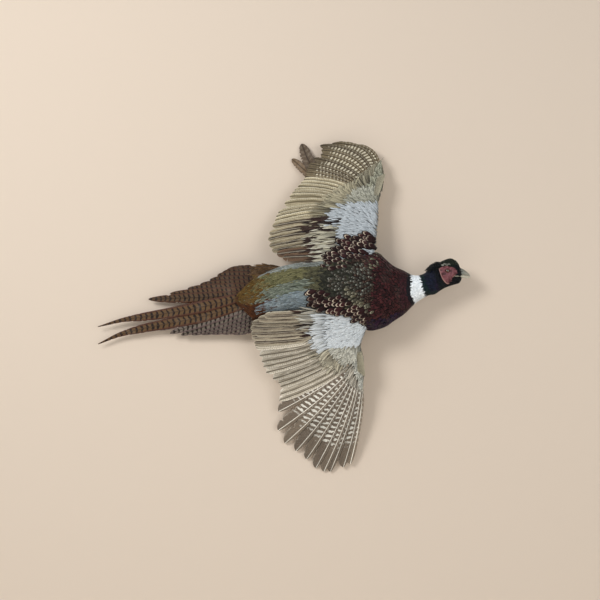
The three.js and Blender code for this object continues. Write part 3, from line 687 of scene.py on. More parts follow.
def oval(x, z, centre, long, short, turn=0.0):
    """How far out a point is in a tilted oval, in millimetres: 1 on its edge."""
    c, s = math.cos(math.radians(turn)), math.sin(math.radians(turn))
    u, v = x - centre[0], z - centre[1]
    return np.hypot((u * c + v * s) / long, (v * c - u * s) / short)


def colour_feathers(points, regions, rng, jitter=2.5, normals=np.array([[0, -1, 0]])):
    """What each feather looks like, from the last region on the bird that it grows in."""
    count = len(points)
    x, _, z = (points / MM).T
    x, z = x + rng.normal(0, jitter, count), z + rng.normal(0, jitter, count)
    back, high = -normals[:, 1], normals[:, 2]
    look = {key: np.zeros((count, 3)) for key in ("ground", "mark", "rim", "signs", "edge")}
    size = np.zeros((count, 2))
    for colours, signs, edge, length, width, where in regions:
        here = where(x, z, back, high) & np.ones(count, bool)
        first, second, mark, rim = (paint(code) for code in colours.split())
        shown = dict(ground=mix(first, second, rng.random((count, 1)))[here],
                     mark=mark, rim=rim, signs=(0, *signs), edge=edge)
        for key, value in shown.items():
            look[key][here] = value
        size[here] = length * MM, width * MM
    look["signs"] *= rng.uniform(0.3, 1.1, (count, 1))
    size *= rng.uniform(0.85, 1.12, (count, 1))
    return look, size


def everywhere(*_):
    return True


# Two ground colours, mark and rim, then amounts of crescent and bars, of edge and shaft, then
# length and width in millimetres, and where on the trunk.
TRUNK_REGIONS = [
    ("#4c4a36 #3a3828 #1e1c12 #7a785c", (0, 0.5), (0.3, 0.3, 0), 21, 6, everywhere),
    ("#6e6a4a #46452c #2a2818 #8c8a62", (0, 0.55), (0.4, 0.3, 0), 24, 4.6,
     lambda x, z, *_: x < -40),
    ("#525a4c #70766a #343a30 #868c80", (0, 0.5), (0.4, 0.4, 0), 24, 4.6,
     lambda x, z, back, high: (x < -30) & (high < 0.12 + 0.0016 * (x + 90))),
    ("#565f5c #74828a #3a444c #98a2a8", (0, 0.4), (0.4, 0.5, 0), 25, 4.6,
     lambda x, z, back, high: (x < -20) & (high < -0.16 + 0.0016 * (x + 90))),
    ("#6a6e66 #7e8480 #3e4038 #a4aaa8", (0, 0.5), (0.5, 0.5, 0), 20, 4.6,
     lambda x, z, back, high: (x < 5) & (x > -140) & (high > 0.72)),
    ("#5c441e #483418 #2a1c0c #7c6434", (0, 0.15), (0.3, 0.3, 0), 26, 4.4,
     lambda x, z, *_: x < -140),
    ("#46260f #321a0a #1c0e06 #5c3418", (0, 0.1), (0.3, 0.2, 0), 26, 4.6,
     lambda x, z, back, high: (x < -126) & (high < -0.1)),
    ("#1b1d18 #2a2a20 #5a584a #070807", (0, 0.25), (0.8, 0, 0), 18, 8.5,
     lambda x, z, *_: (oval(x, z, (36, 20), 46, 46) < 1) | ((x > 50) & (x < 76))),
    ("#421a1f #210c10 #5c3a30 #070304", (0, 0.35), (1.0, 0.15, 0), 20, 6.5,
     lambda x, z, back, high: (x > 64 + 0.12 * np.abs(z - 10)) | (back < -0.2)),
    ("#2c1714 #1b100e #7c6858 #070303", (0.6, 0.1), (1.0, 0.1, 0), 20, 6.5,
     lambda x, z, back, high: (x > 60) & (x < 102 - 0.15 * np.abs(z - 10)) & (back > 0.4)),
    ("#2c0e20 #1a1028 #2e2048 #0c0712", (0, 0.1), (0.85, 0.1, 0), 19, 9,
     lambda x, z, back, high: (x > 95) & (high < -0.5)),
    ("#231510 #17100d #3e281a #0a0706", (0, 0.1), (0.7, 0, 0), 22, 9.5,
     lambda x, z, back, high: (back < -0.55) & (x < 120)),
    ("#46301e #38241a #1c120a #6a4c2c", (0, 0.4), (0.5, 0, 0), 24, 8,
     lambda x, z, back, high: (back < -0.2) & (x < -84)),
]


def walked(line):
    """How far along a line each of its points is."""
    return np.concatenate([[0], np.cumsum(np.linalg.norm(np.diff(line, axis=0), axis=1))])


shares = np.linspace(0, 1, AXIS_POINTS)
axis = walked(((upper_edge(shares) + lower_edge(shares)) / 2)[:, ::2])
row_stations = np.interp(np.arange(0, axis[-1], SHEET_STEP), axis, LAST_STATION * shares)
body_rows = []
for station in row_stations:
    angles = np.linspace(0, 2 * math.pi, RING_SAMPLES)
    round_it = walked(body_at(np.full(RING_SAMPLES, station), angles))
    even = np.interp(np.linspace(0, round_it[-1], RING_POINTS + 1)[:-1], round_it, angles)
    body_rows.append(body_at(np.full(RING_POINTS, station), even))
body_sheet = make_sheet(np.array(body_rows), closed=True, outward=-1)
ring_lengths = np.linalg.norm(
    body_sheet["points"] - np.roll(body_sheet["points"], 1, 1), axis=-1).sum(1)


def row_of(station):
    return float(np.interp(station, row_stations, np.arange(len(row_stations))))


def grow_on_body(name, stations, pitch, regions, material, seed, keep=None, jitter=2.5,
                 **shape):
    """Feathers in staggered rings over a length of the body. The pitch is in mm."""
    rng, (along_pitch, round_pitch) = np.random.default_rng(seed), (MM * gap for gap in pitch)
    rows, columns = [], []
    for k, row in enumerate(np.arange(
            row_of(stations[0]), row_of(stations[1]), along_pitch / SHEET_STEP)):
        n = max(int(round(ring_lengths[min(int(row), len(ring_lengths) - 1)] / round_pitch)), 6)
        columns.append((np.arange(n) + 0.5 * (k % 2) + rng.normal(0, RING_SCATTER, n))
                       * RING_POINTS / n)
        rows.append(row + rng.normal(0, ROW_SCATTER, n) * along_pitch / SHEET_STEP)
    p, q = np.concatenate(rows), np.concatenate(columns)
    root = on_sheet(body_sheet, p, q)
    normal = on_sheet(body_sheet, p, q, 1.0) - root
    if keep is not None:
        kept = keep(root / MM, normal)
        p, q, root, normal = p[kept], q[kept], root[kept], normal[kept]
    look, size = colour_feathers(root, regions, rng, jitter, normal)
    lay_feathers(name, body_sheet, p, q, (-1, 0), look, size,
                 rng.normal(0, TURN_SCATTER, len(p)), rng, material,
                 unwrap=((p - p.min()) / np.ptp(p), q % RING_POINTS / RING_POINTS), **shape)


trunk_plumage = plumage_material("trunk_plumage", 0.62, 0.05, 0.1, 0.04)
rump_plumage = plumage_material("rump_plumage", 0.7, 0.06, 0.1, 0.04)
grow_on_body("coat_rump", (0.0, 4.2), (3.4, 3), TRUNK_REGIONS, rump_plumage, 11,
             slot="back_plumage", ragged=0.09, cup=0.3, jitter=17, tip=1.2)
grow_on_body("coat_back", (4.2, 7.0), (4.2, 4.2), TRUNK_REGIONS, trunk_plumage, 12,
             slot="back_plumage", ragged=0.05, jitter=6)
grow_on_body("coat_breast", (7.0, NECK_STATION), (4.6, 5), TRUNK_REGIONS,
             trunk_plumage, 13, slot="breast_plumage", ragged=0.05, jitter=5)

# ---- shoulder feathers ----------------------
# The scapulars and the feathers between them, larger than the rest and boldly marked. They
# drape from the back over the wing roots, so they lie on a sheet eased over both.
DRAPE_STEP = 2.5 * MM
DRAPE_X, DRAPE_Z = (-90, 130), (-100, 140)
DRAPE_FROM, DRAPE_REACH = -0.3, 0.27
DRAPE_LIFT = 4.2 * MM             # how far the drape is eased off the skin
DRAPE_FILLS, DRAPE_SETTLES = 40, 14
TIP_BEHIND = 15                   # a feather's look is read this far behind its root, in mm
SWING, SWING_MIDDLE, SWING_REACH = 0.42, 18, 30   # how feathers fan out from the spine
SHOULDER_REGIONS = [
    ("#26221c #352b23 #9ca094 #080706", (0.75, 0.15), (0.7, 0, 0), 15, 6.5,
     lambda x, z, *_: oval(x, z, (34, 22), 47, 44) < 1),
    ("#4c4635 #3a342a #9c9a86 #12100b", (0.9, 0.3), (0.75, 0, 0), 15, 7,
     lambda x, z, *_: (oval(x, z, (49, -15), 42, 11, -40) < 1)
     | (oval(x, z, (88, 63), 20, 9, 62) < 1)),
    ("#311618 #21110f #bdaf9b #0a0505", (0.85, 0), (0.8, 0, 0), 26, 13,
     lambda x, z, *_: (oval(x, z, (34, 83), 66, 27, 28) < 1)
     | (oval(x, z, (2, -24), 70, 19, -20) < 1) | (oval(x, z, (60, -53), 24, 13, -30) < 1)),
]
skin_tree = BVHTree.FromPolygons([v.co for v in skin_mesh.vertices],
                                 [tuple(f.vertices) for f in skin_mesh.polygons])


def press_on(x, z, start, way, reach):
    """Where lines along y first touch the skin, and nan for those that miss it."""
    y = np.full(x.shape, np.nan)
    for index in np.ndindex(x.shape):
        hit = skin_tree.ray_cast((x[index], start, z[index]), (0, way, 0), reach)[0]
        if hit:
            y[index] = hit.y
    return y


drape_x, drape_z = np.meshgrid(
    MM * np.arange(*DRAPE_X, DRAPE_STEP / MM), MM * np.arange(*DRAPE_Z, DRAPE_STEP / MM),
    indexing="ij")
drape_y = press_on(drape_x, drape_z, DRAPE_FROM, 1, DRAPE_REACH)
for _ in range(DRAPE_FILLS):
    gaps = np.isnan(drape_y)
    if not gaps.any():
        break
    around = np.stack([np.roll(drape_y, s, a) for s, a in ((1, 0), (-1, 0), (1, 1), (-1, 1))])
    known = ~np.isnan(around)
    filled = np.where(known, around, 0).sum(0) / np.maximum(known.sum(0), 1)
    drape_y[gaps & known.any(0)] = filled[gaps & known.any(0)]
for _ in range(DRAPE_SETTLES):
    padded = np.pad(drape_y, 1, mode="edge")
    drape_y = (padded[1:-1, 1:-1] * 4 + padded[:-2, 1:-1] + padded[2:, 1:-1]
               + padded[1:-1, :-2] + padded[1:-1, 2:]) / 8
drape = make_sheet(np.stack([drape_x, drape_y - DRAPE_LIFT, drape_z], -1))
rng = np.random.default_rng(21)
drape_rows, drape_columns = drape_x.shape
grown = []
for regions, apart, others in ((SHOULDER_REGIONS[:2], (7, 8), SHOULDER_REGIONS[2:]),
                               (SHOULDER_REGIONS[2:], (10, 11), ())):
    down, round_it = (gap * MM / DRAPE_STEP for gap in apart)
    at_rows = np.arange(4, drape_rows - 4, down)
    at_columns = np.arange(3, drape_columns - 3, round_it)
    rows = np.repeat(at_rows, len(at_columns))
    columns = np.add.outer(np.arange(len(at_rows)) % 2 * round_it / 2, at_columns).ravel()
    rows, columns = (v + rng.normal(0, 0.7, len(rows)) for v in (rows, columns))
    tips = on_sheet(drape, rows, columns) - np.array([TIP_BEHIND * MM, 0, 0])
    inside, out = (np.any([where(tips[:, 0] / MM, tips[:, 2] / MM, 1, 0) for *_, where in group]
                          or [np.zeros(len(tips), bool)], axis=0) for group in (regions, others))
    rows, columns, tips = (v[inside & ~out] for v in (rows, columns, tips))
    look, size = colour_feathers(tips, regions, rng, 1.5)
    grown.append((rows, columns, size, *look.values()))
rows, columns, size, *values = (np.concatenate(parts) for parts in zip(*grown))
look = dict(zip(look, values))
swing = SWING * np.tanh(
    (on_sheet(drape, rows, columns)[:, 2] / MM - SWING_MIDDLE) / SWING_REACH)
shoulder_plumage = plumage_material("shoulder_plumage", 0.55, 0.04, 0.1, 0.04)
lay_feathers("coat_shoulders", drape, rows, columns, (-1, 0), look, size,
             rng.normal(0, 0.07, len(rows)) - swing, rng, shoulder_plumage, "back_plumage",
             root=-1.5, tip=1.4, cup=0.34)

# ---- neck and collar ------------------------
# Short dense feathers, black-blue with a green and violet gloss, parted by the white ring.
# They grow from the skin of the neck, and the ring's edges are set at the feathers' tips.
COLLAR_REAR = [(-22, 186), (-13, 178), (5, 170), (29, 174), (42, 177)]
COLLAR_FRONT = [(-12, 218), (-7, 214.5), (1, 207.5), (14, 199), (32, 193.5), (42, 191)]


def collar(edge, z):
    """How far forward an edge of the white ring is at a height."""
    return np.interp(z, *np.transpose(edge))


NECK_REGIONS = [
    ("#0e1526 #131426 #1c2c44 #06080f", (0, 0.2), (0.5, 0, 0), 13, 4.8, everywhere),
    ("#0a1b1d #0e2026 #123332 #050b0c", (0, 0.2), (0.5, 0, 0), 13, 4.8,
     lambda x, z, back, high: (x < collar(COLLAR_FRONT, z) + 12) | (high < -0.4)),
    ("#1a1128 #130f24 #281b40 #08060f", (0, 0.2), (0.5, 0, 0), 13, 4.8,
     lambda x, z, *_: oval(x, z, (236, 26), 12, 16) < 1),
    ("#eef2f4 #dfe6ea #ffffff #c3ccd3", (0, 0), (0.3, 0, 0.5), 13, 6,
     lambda x, z, *_: (x > collar(COLLAR_REAR, z)) & (x < collar(COLLAR_FRONT, z))),
    ("#0c0e14 #120d16 #181a20 #050608", (0, 0), (0.5, 0, 0), 14, 7.5,
     lambda x, z, *_: x < collar(COLLAR_REAR, z)),
    ("#34101a #240c12 #6c4c3c #0c0507", (0, 0.1), (0.9, 0, 0), 15, 8,
     lambda x, z, *_: x < collar(COLLAR_REAR, z) - 9),
]


def look_from_tip(regions, ahead):
    """The same regions, for feathers that show what their tips lie on."""
    return [(*look, lambda x, z, back, high, where=where: where(
        x - ahead[0], z - ahead[1], back, high)) for *look, where in regions]


neck_plumage = plumage_material("neck_plumage", 0.4, 0.02, 0.14, 0.0)
grow_on_body("coat_neck", (NECK_STATION - 0.35, HEAD_STATION + 0.5), (2.6, 3.2),
             look_from_tip(NECK_REGIONS, (11.5, -4)), neck_plumage, 31, slot="dark_neck_plumage",
             root=-2.4, tip=0.5, ragged=0.05, jitter=0.7)

# ---- head -----------------------------------
# Tiny glossy feathers cover the skull, lifted into short tufts behind the ears. The face is
# bare red skin round the eye and down the cheek, pebbled with papillae.
HEAD_MIDDLE = -60.5 * MM
EYE_X, EYE_Z, EYE_RADIUS, EYE_OUT = 256 * MM, 46 * MM, 5.4 * MM, 12.4 * MM
FACE_OUTLINE = MM * np.array([
    (237, 50), (242, 55), (256, 57), (267, 55.5), (276, 50.5), (281, 41), (275, 36.5),
    (268.5, 32), (267.5, 24), (263, 17.5), (256, 16.5), (247, 24.5), (241, 36)])
HEAD_REGIONS = [
    ("#0c1012 #10141c #182230 #060709", (0, 0), (0.4, 0, 0), 7.6, 2.7, everywhere),
    ("#23261e #1a211c #3c4430 #0c0f0a", (0, 0.2), (0.4, 0, 0), 7.6, 2.6,
     lambda x, z, *_: z > 52 + 0.1 * (x - 250)),
    ("#a3a298 #6e6d62 #aeaca4 #5c5c50", (0, 0), (0.1, 0, 0), 7.4, 2.4,
     lambda x, z, back, high: (x > 244) & (x < 268) & (np.abs(z - 61.5 + 0.004 * (
         x - 255) ** 2) < 1.6) & (back > 0)),
    ("#0c0e10 #121316 #1c2024 #060708", (0, 0), (0.3, 0, 0), 8.4, 2.8,
     lambda x, z, *_: (z < 32) & (x > 262)),
]


def inside_outline(x, z, outline, grow):
    """Whether points lie in a closed outline, grown by a share of its size."""
    middle = outline.mean(0)
    corners = middle + (outline - middle) * (1 + grow)
    inside = np.zeros(np.shape(x), bool)
    for (x1, z1), (x2, z2) in zip(corners, np.roll(corners, -1, 0)):
        crosses = (z1 > z) != (z2 > z)
        inside ^= crosses & (x < (x2 - x1) * (z - z1) / (z2 - z1 + 1e-12) + x1)
    return inside


BILL_ROOT_X = 290.5               # the skull's feathers end here
MOUTH_CORNER = (272, 34, 3)       # x, height, and half width of the bare gape before it
REACH_BACK = 3.5                  # how far feathers rooted before the eye would lie over it


def off_the_face(place, _):
    """Keeps feathers off the bare skin, the mouth and the bill."""
    x, _, z = place.T
    return (x < BILL_ROOT_X) & (
        (x < MOUTH_CORNER[0]) | (np.abs(z - MOUTH_CORNER[1]) > MOUTH_CORNER[2])) & ~(
        inside_outline(x * MM, z * MM, FACE_OUTLINE, 0.02)
        | inside_outline((x - REACH_BACK) * MM, z * MM, FACE_OUTLINE, -0.08))


head_plumage = plumage_material("head_plumage", 0.4, 0.02, 0.16, 0.0)
grow_on_body(
    "coat_head", (HEAD_STATION + 0.1, LAST_STATION - 0.15), (2, 2.1), HEAD_REGIONS,
    head_plumage, 41, off_the_face, 1.2, template=SMALL_FEATHER, slot="dark_neck_plumage",
    root=-0.7, tip=0.7, ragged=0.12)

EAR_REGIONS = [
    ("#0c1012 #10151c #182028 #050608", (0, 0), (0.4, 0, 0), 11.5, 3.2, everywhere),
]


def at_ear(place, normal):
    """Behind each ear, and on the nape's upper side."""
    (x, _, z), (_, out, up) = place.T, unit(normal).T
    return ((oval(x, z, (240, 61), 7, 5, 40) < 1) & (np.abs(out) > 0.2)) | (
        (oval(x, z, (229, 57), 11, 7, 38) < 1) & (up > 0.45))


grow_on_body(
    "coat_ear_tufts", (14.8, 19.0), (2.6, 2.4), EAR_REGIONS, head_plumage, 43,
    slot="dark_neck_plumage", root=-0.7, tip=6, ragged=0.12, cup=0.2, keep=at_ear)

# ---- bare face ------------------------------
# The red skin round each eye and down the cheek, with folds, a paler rim and pebbles of
# papillae. Its inner edge is the pair of lids, drawn up over the ball of the eye.
LID_OPENING = (4.25 * MM, 3.7 * MM)
FACE_RINGS, FACE_SPOKES = 30, 120
FACE_BULGE = 1.5 * MM
FACE_BACKING = 0.8 * MM
PAPILLA_SPACING, PAPILLA_RADIUS = 1.05 * MM, 0.5 * MM
# Dark patches before and behind the eye: middle, then half width and half height.
DARK_EYE_PATCHES = [((247.5, 39.5), (5.5, 3.2)), ((263.5, 45.5), (3, 3))]
HEAD_SIDES = {"right": 1, "left": -1}      # 1 is the side away from the wall
BESIDE_HEAD, THROAT_HALF = 60 * MM, 6 * MM

outline_curve = smooth_line(np.vstack([FACE_OUTLINE, FACE_OUTLINE[:1]]))(np.linspace(0, 1, 400))
outline_angle = np.arctan2(outline_curve[:, 1] - EYE_Z, outline_curve[:, 0] - EYE_X)
outline_reach = np.hypot(outline_curve[:, 1] - EYE_Z, outline_curve[:, 0] - EYE_X)
order = np.argsort(outline_angle)


def face_skin_mesh(name, side):
    """The face skin on one side, side 1 being the one away from the wall."""
    spoke = np.linspace(-math.pi, math.pi, FACE_SPOKES, endpoint=False)
    edge = np.interp(spoke, outline_angle[order], outline_reach[order], period=2 * math.pi)
    lid = 1 / np.hypot(np.cos(spoke) / LID_OPENING[0], np.sin(spoke) / LID_OPENING[1])
    out = np.linspace(0, 1, FACE_RINGS)[:, None] ** 1.25
    reach = lid + (edge - lid) * out
    x, z = EYE_X + reach * np.cos(spoke), EYE_Z + reach * np.sin(spoke)
    y = press_on(x, z, HEAD_MIDDLE - side * BESIDE_HEAD, side, BESIDE_HEAD)
    y = np.where(np.isnan(y), HEAD_MIDDLE - side * THROAT_HALF, y)
    rise = 0.1 * MM + (1 - out**7) * (HEAD_COAT_DEPTH + FACE_BULGE * np.sin(
        math.pi * out**0.75) ** 0.7)
    past_lid = (reach - lid) / MM
    # Folds in rings round the lids, then coarse and fine ones that run out to the edge.
    folds = 0.16 * np.sin(past_lid * 3.6) * np.exp(-past_lid / 4) * ease(past_lid, 0.8, 1.6)
    folds = folds + 0.22 * np.sin(7 * spoke + 3 * out + 1.3 * np.sin(2 * spoke)) * ease(
        out, 0.35, 0.7) + 0.12 * np.sin(17 * spoke - 5 * out) * ease(out, 0.25, 0.6)
    flesh = y - side * (rise + folds * MM * (1 - out**6))
    ball = HEAD_MIDDLE - side * (EYE_OUT + np.sqrt(
        np.maximum(EYE_RADIUS**2 - reach**2, 0)) + 0.35 * MM)
    surface = mix(ball, flesh, ease(past_lid, 0.5, 2.3))
    surface -= side * 0.3 * MM * np.exp(-((past_lid - 0.55) / 0.45) ** 2)
    front = np.stack([x, surface, z], -1)
    back = np.stack([x, y + side * FACE_BACKING, z], -1)
    shell = np.concatenate([front, back[::-1]])
    size = len(shell) * FACE_SPOKES
    faces = [tuple(i % size for i in face) for face in grid_faces(
        len(shell) + 1, FACE_SPOKES, closed=True, flip=side > 0)]
    mesh = new_mesh(name, shell, faces)
    place = np.stack([np.tile(out, (1, FACE_SPOKES)), past_lid / 10, folds], -1)
    place = np.concatenate([place, place[::-1] * 0])
    store(mesh, "place", "FLOAT_VECTOR", "vector", place)
    pebbly = ease(place[..., 0], 0.2, 0.34) * (1 - ease(place[..., 0], 0.93, 0.99))
    store(mesh, "pebbly", "FLOAT", "value", pebbly)
    return mesh


def grow_by_nodes(name, mesh, tree, values):
    """Runs a tree on a mesh with its inputs set, and gives the plain mesh it makes."""
    holder = new_object(name + "_grown", mesh)
    modifier = holder.modifiers.new(tree.name, "NODES")
    modifier.node_group = tree
    for item in tree.interface.items_tree:
        if item.in_out == "INPUT" and item.name in values:
            modifier[item.identifier] = values[item.name]
    bpy.context.view_layer.update()
    return plain_mesh(holder, name)


def out_of_oval(x, z, middle, halves):
    """How far out a place is in an oval given in millimetres, as a node: 1 on its edge."""
    return abs((x - middle[0] * MM) / (halves[0] * MM)) ** 2.0 + abs(
        (z - middle[1] * MM) / (halves[1] * MM)) ** 2.0


face_material, tree, finish = new_material(
    "red_face_skin", Roughness=0.5, Specular_IOR_Level=0.4)
place, spot_at = split(read_attribute(tree, "place", "Vector")), place_in(tree)
flesh = tint(fade(noise(spot_at, 260.0, 4.0), 0.35, 0.68), "#693439", "#825055")
# Painted shade: the skin is darker down in the valleys of its folds.
flesh = tint(fade(place[2], -0.35, 0.1), "#44191d", flesh)
x, _, z = split(spot_at)
for middle, halves in DARK_EYE_PATCHES:
    dark_patch = out_of_oval(x, z, middle, halves)
    flesh = tint((1.0 - fade(dark_patch, 0.4, 1.5)) * 0.75, flesh, "#30070e")
flesh = tint(fade(place[0], 0.84, 0.97), flesh, "#a88078")
# Painted highlight: each papilla grows paler towards its tip, with its base left in painted shade.
flesh = tint(read_attribute(tree, "papilla", "Fac") * 0.5, flesh, "#a86466")
dots = (1.0 - fade(cells(spot_at, 330.0), 0.16, 0.26)) * (1.0 - fade(place[1], 0.5, 0.75))
flesh = tint(dots * 0.8, flesh, "#1c1012")
lid_rim = (1.0 - fade(place[1], 0.04, 0.1)) * fade(place[0], -0.5, 0.0)
send(tint(lid_rim, flesh, "#2c1416"), finish.inputs["Base Color"])
raise_by(cells(spot_at, 1100.0), finish, 0.5, 0.0002)

# Papillae: blunt pebbles scattered over the skin at even spacing, each squashed onto it.
papillae, given, result = new_group("papillae", {
    "Geometry": "Geometry", "Spacing": "Float", "Radius": "Float", "Seed": "Int",
    "Material": "Material"}, {"Geometry": "Geometry"}, "GeometryNodeTree")
scatter = add_node(papillae, "GeometryNodeDistributePointsOnFaces", {
    "Mesh": given["Geometry"], "Distance Min": given["Spacing"], "Density Max": 4.0e6,
    "Density Factor": flow(papillae, "GeometryNodeInputNamedAttribute", {
        "Name": "pebbly"}, "Attribute"),
    "Seed": given["Seed"]}, distribute_method="POISSON")
pebble = flow(papillae, "GeometryNodeMeshIcoSphere", {
    "Radius": given["Radius"], "Subdivisions": 1})
# The height on each pebble, kept for the material to paint a highlight on its tip.
height = split(flow(papillae, "GeometryNodeInputPosition"))[2] / given["Radius"]
capped = flow(papillae, "GeometryNodeStoreNamedAttribute", {
    "Geometry": pebble, "Name": "papilla", "Value": height})
various = flow(papillae, "FunctionNodeRandomValue", {2: 0.65, 3: 1.25, "Seed": given["Seed"]}, 1)
squashed = flow(papillae, "CombineXYZ", {0: various, 1: various, 2: various * 0.75})
pebbles = flow(papillae, "GeometryNodeInstanceOnPoints", {
    "Points": scatter.outputs["Points"], "Instance": capped,
    "Rotation": scatter.outputs["Rotation"], "Scale": squashed})
joined = add_node(papillae, "GeometryNodeJoinGeometry", {"Geometry": given["Geometry"]})
send(pebbles, joined.inputs[0])
real_mesh = flow(papillae, "GeometryNodeRealizeInstances", {0: joined.outputs[0]})
shaded = flow(papillae, "GeometryNodeSetShadeSmooth", {0: real_mesh})
send(flow(papillae, "GeometryNodeSetMaterial", {
    "Geometry": shaded, "Material": given["Material"]}), result["Geometry"])

for name, side in HEAD_SIDES.items():
    face_mesh = grow_by_nodes(
        f"face_skin_{name}_bare", face_skin_mesh(name + "_face", side), papillae, {
            "Spacing": PAPILLA_SPACING, "Radius": PAPILLA_RADIUS, "Seed": 4,
            "Material": face_material})
    fit(new_object(f"bare_face_{name}", face_mesh), "red_face_skin", f"face_skin_{name}")

# ---- eyes -----------------------------------
# Glass balls painted from behind, with a black pupil in a brown iris, set into the skull
# under the lids.
EYE_ROWS, EYE_SPOKES = 32, 48
PUPIL, IRIS = 2.2, 4.2

eye_material, tree, finish = new_material(
    "eye_glass", Roughness=0.04, Coat_Weight=1.0, Coat_Roughness=0.02)
spot_at = split(place_in(tree))
out_x, out_z = spot_at[0] / MM - EYE_X / MM, spot_at[2] / MM - EYE_Z / MM
from_pupil = calc("SQRT", abs(out_x) ** 2.0 + abs(out_z) ** 2.0)
streaks = noise(flow(tree, "CombineXYZ", {
    0: calc("ARCTAN2", out_z, out_x), 1: from_pupil * 0.25}), 9.0, 3.0)
iris = tint(streaks, "#2c1608", "#7a4519")
iris = tint(fade(from_pupil, IRIS - 0.9, IRIS), iris, "#140a06")
iris = tint(fade(from_pupil, PUPIL - 0.12, PUPIL + 0.12), (0.002, 0.002, 0.002, 1), iris)
send(iris, finish.inputs["Base Color"])

for name, side in HEAD_SIDES.items():
    tilt = np.linspace(0.01, math.pi - 0.01, EYE_ROWS)[:, None]
    turn = all_round(EYE_SPOKES)[None, :]
    ball = np.stack([
        EYE_X + EYE_RADIUS * np.sin(tilt) * np.cos(turn),
        HEAD_MIDDLE - side * EYE_OUT + EYE_RADIUS * np.cos(tilt) + 0 * turn,
        EYE_Z + EYE_RADIUS * np.sin(tilt) * np.sin(turn)], -1)
    fit(new_object(f"glass_eye_{name}", new_mesh(f"glass_eye_{name}", *loft_parts([ball])),
                   eye_material), "eye_glass", f"eye_{name}")

# ---- bill -----------------------------------
# Two horn sheaths, the upper one arched and hooked over the lower, with a nostril each side
# under a raised flap. Horn grows forward, so its fine lines run from root to tip.

# Stations of each sheath as x, z, half height and half width in mm.
BILL_UPPER = [(276, 46.4, 9.2, 7.0), (280, 45.5, 8.4, 6.2), (289, 44, 7.4, 5.2),
              (297, 41.3, 5.6, 3.9), (303, 38, 3.8, 2.7), (307, 34.4, 2.3, 1.6),
              (309, 30.8, 0.7, 0.6)]
BILL_LOWER = [(272, 33.9, 1.0, 12.4), (276, 34.4, 1.6, 11.7), (281, 34.8, 2.4, 10.2),
              (285, 34.6, 2.7, 8.2), (289, 34, 2.7, 5.6), (297, 32.6, 2.2, 3.5),
              (303, 31.2, 1.5, 2.2), (306.5, 30.2, 0.6, 0.9)]
BILL_ROWS, BILL_SPOKES = 70, 56
NOSTRIL = (288.5, 44.6, 3.0, 1.1)     # x, z, half length and half height


def bill_mesh(name, stations, ridge, nostril):
    """A sheath through its stations, narrowed along its ridge and rounded at its tip."""
    t = np.linspace(0, 1, BILL_ROWS)
    shape = smooth_line(np.array(stations))(t)
    turn = all_round(BILL_SPOKES)[None, :]
    x, z, half_high, half_wide = (shape[:, k:k + 1] for k in range(4))
    close = np.sqrt(np.clip(1 - ((t - 0.9) / 0.1).clip(0) ** 2, 0.02, 1))[:, None]
    cosine, sine = np.cos(turn), np.sin(turn)
    up = sine * half_high * close
    out = np.sign(cosine) * np.abs(cosine) ** 0.8 * half_wide * close * (
        1 - ridge * np.clip(sine, 0, 1) ** 1.5)
    if nostril:
        dx, dz = (x - NOSTRIL[0]) / NOSTRIL[2], (z + up - NOSTRIL[1]) / NOSTRIL[3]
        pit = np.exp(-(np.hypot(dx, dz) ** 3))
        flap = np.exp(-(np.hypot(dx / 1.5, (dz - 1.7) / 1.5) ** 2))
        out = out + np.sign(cosine) * (0.75 * flap - 1.1 * pit) * (np.abs(cosine) > 0.2)
        seam = np.exp(-((z + up - (z - half_high * 0.7)) / 0.5) ** 2)
        out = out + np.sign(cosine) * 0.15 * seam
    rings = MM * np.stack([x + 0 * up, HEAD_MIDDLE / MM + out, z + up], -1)
    return new_mesh(name, *loft_parts([rings]))


bill_material, tree, finish = new_material("bill_horn", Roughness=0.32)
spot_at = place_in(tree)
x, _, z = split(spot_at)
growth = noise(stretched(spot_at, (90, 900, 900)), 1.0, 4.0)
horn = tint(fade(x, 0.280, 0.304), "#5c625d", "#878476")
horn = tint(fade(growth, 0.4, 0.75) * 0.45, horn, "#54584e")
horn = tint(1.0 - fade(z - (0.309 - x) * 0.22, 0.0315, 0.0355), horn, "#b2af9d")
# Painted shade: the nostril pit is near black, as the shade inside its opening.
pit = calc("SQRT", out_of_oval(x, z, NOSTRIL[:2], NOSTRIL[2:]))
send(tint(1.0 - fade(pit, 0.6, 1.0), horn, "#1c1816"), finish.inputs["Base Color"])
raise_by(growth, finish, 0.25, 0.0003)
for name, stations, ridge in (("upper", BILL_UPPER, 0.55), ("lower", BILL_LOWER, 0.0)):
    sheath = bill_mesh(f"horn_bill_{name}", stations, ridge, name == "upper")
    fit(new_object(f"horn_bill_{name}", sheath, bill_material), "bill_horn", f"bill_{name}")

# ---- flight feathers ------------------------
# Ten primaries, eleven secondaries and the tertials of each wing. Each is a stiff vane on a
# raised shaft, narrow in front and wide behind, and tucked under the next one inwards.
FLIGHT_COLUMNS = (-1, -0.75, -0.5, -0.25, 0, 0, 0, 0.35, 0.7, 1)
SHAFT_COLUMNS = (4, 5, 6)
VANE_HALF_THICK = 0.13
VANE_ARCH = 0.004                 # how much a vane curves down to its edges, per mm
BROWN_VANES = "#5c4634", "#6e5640"
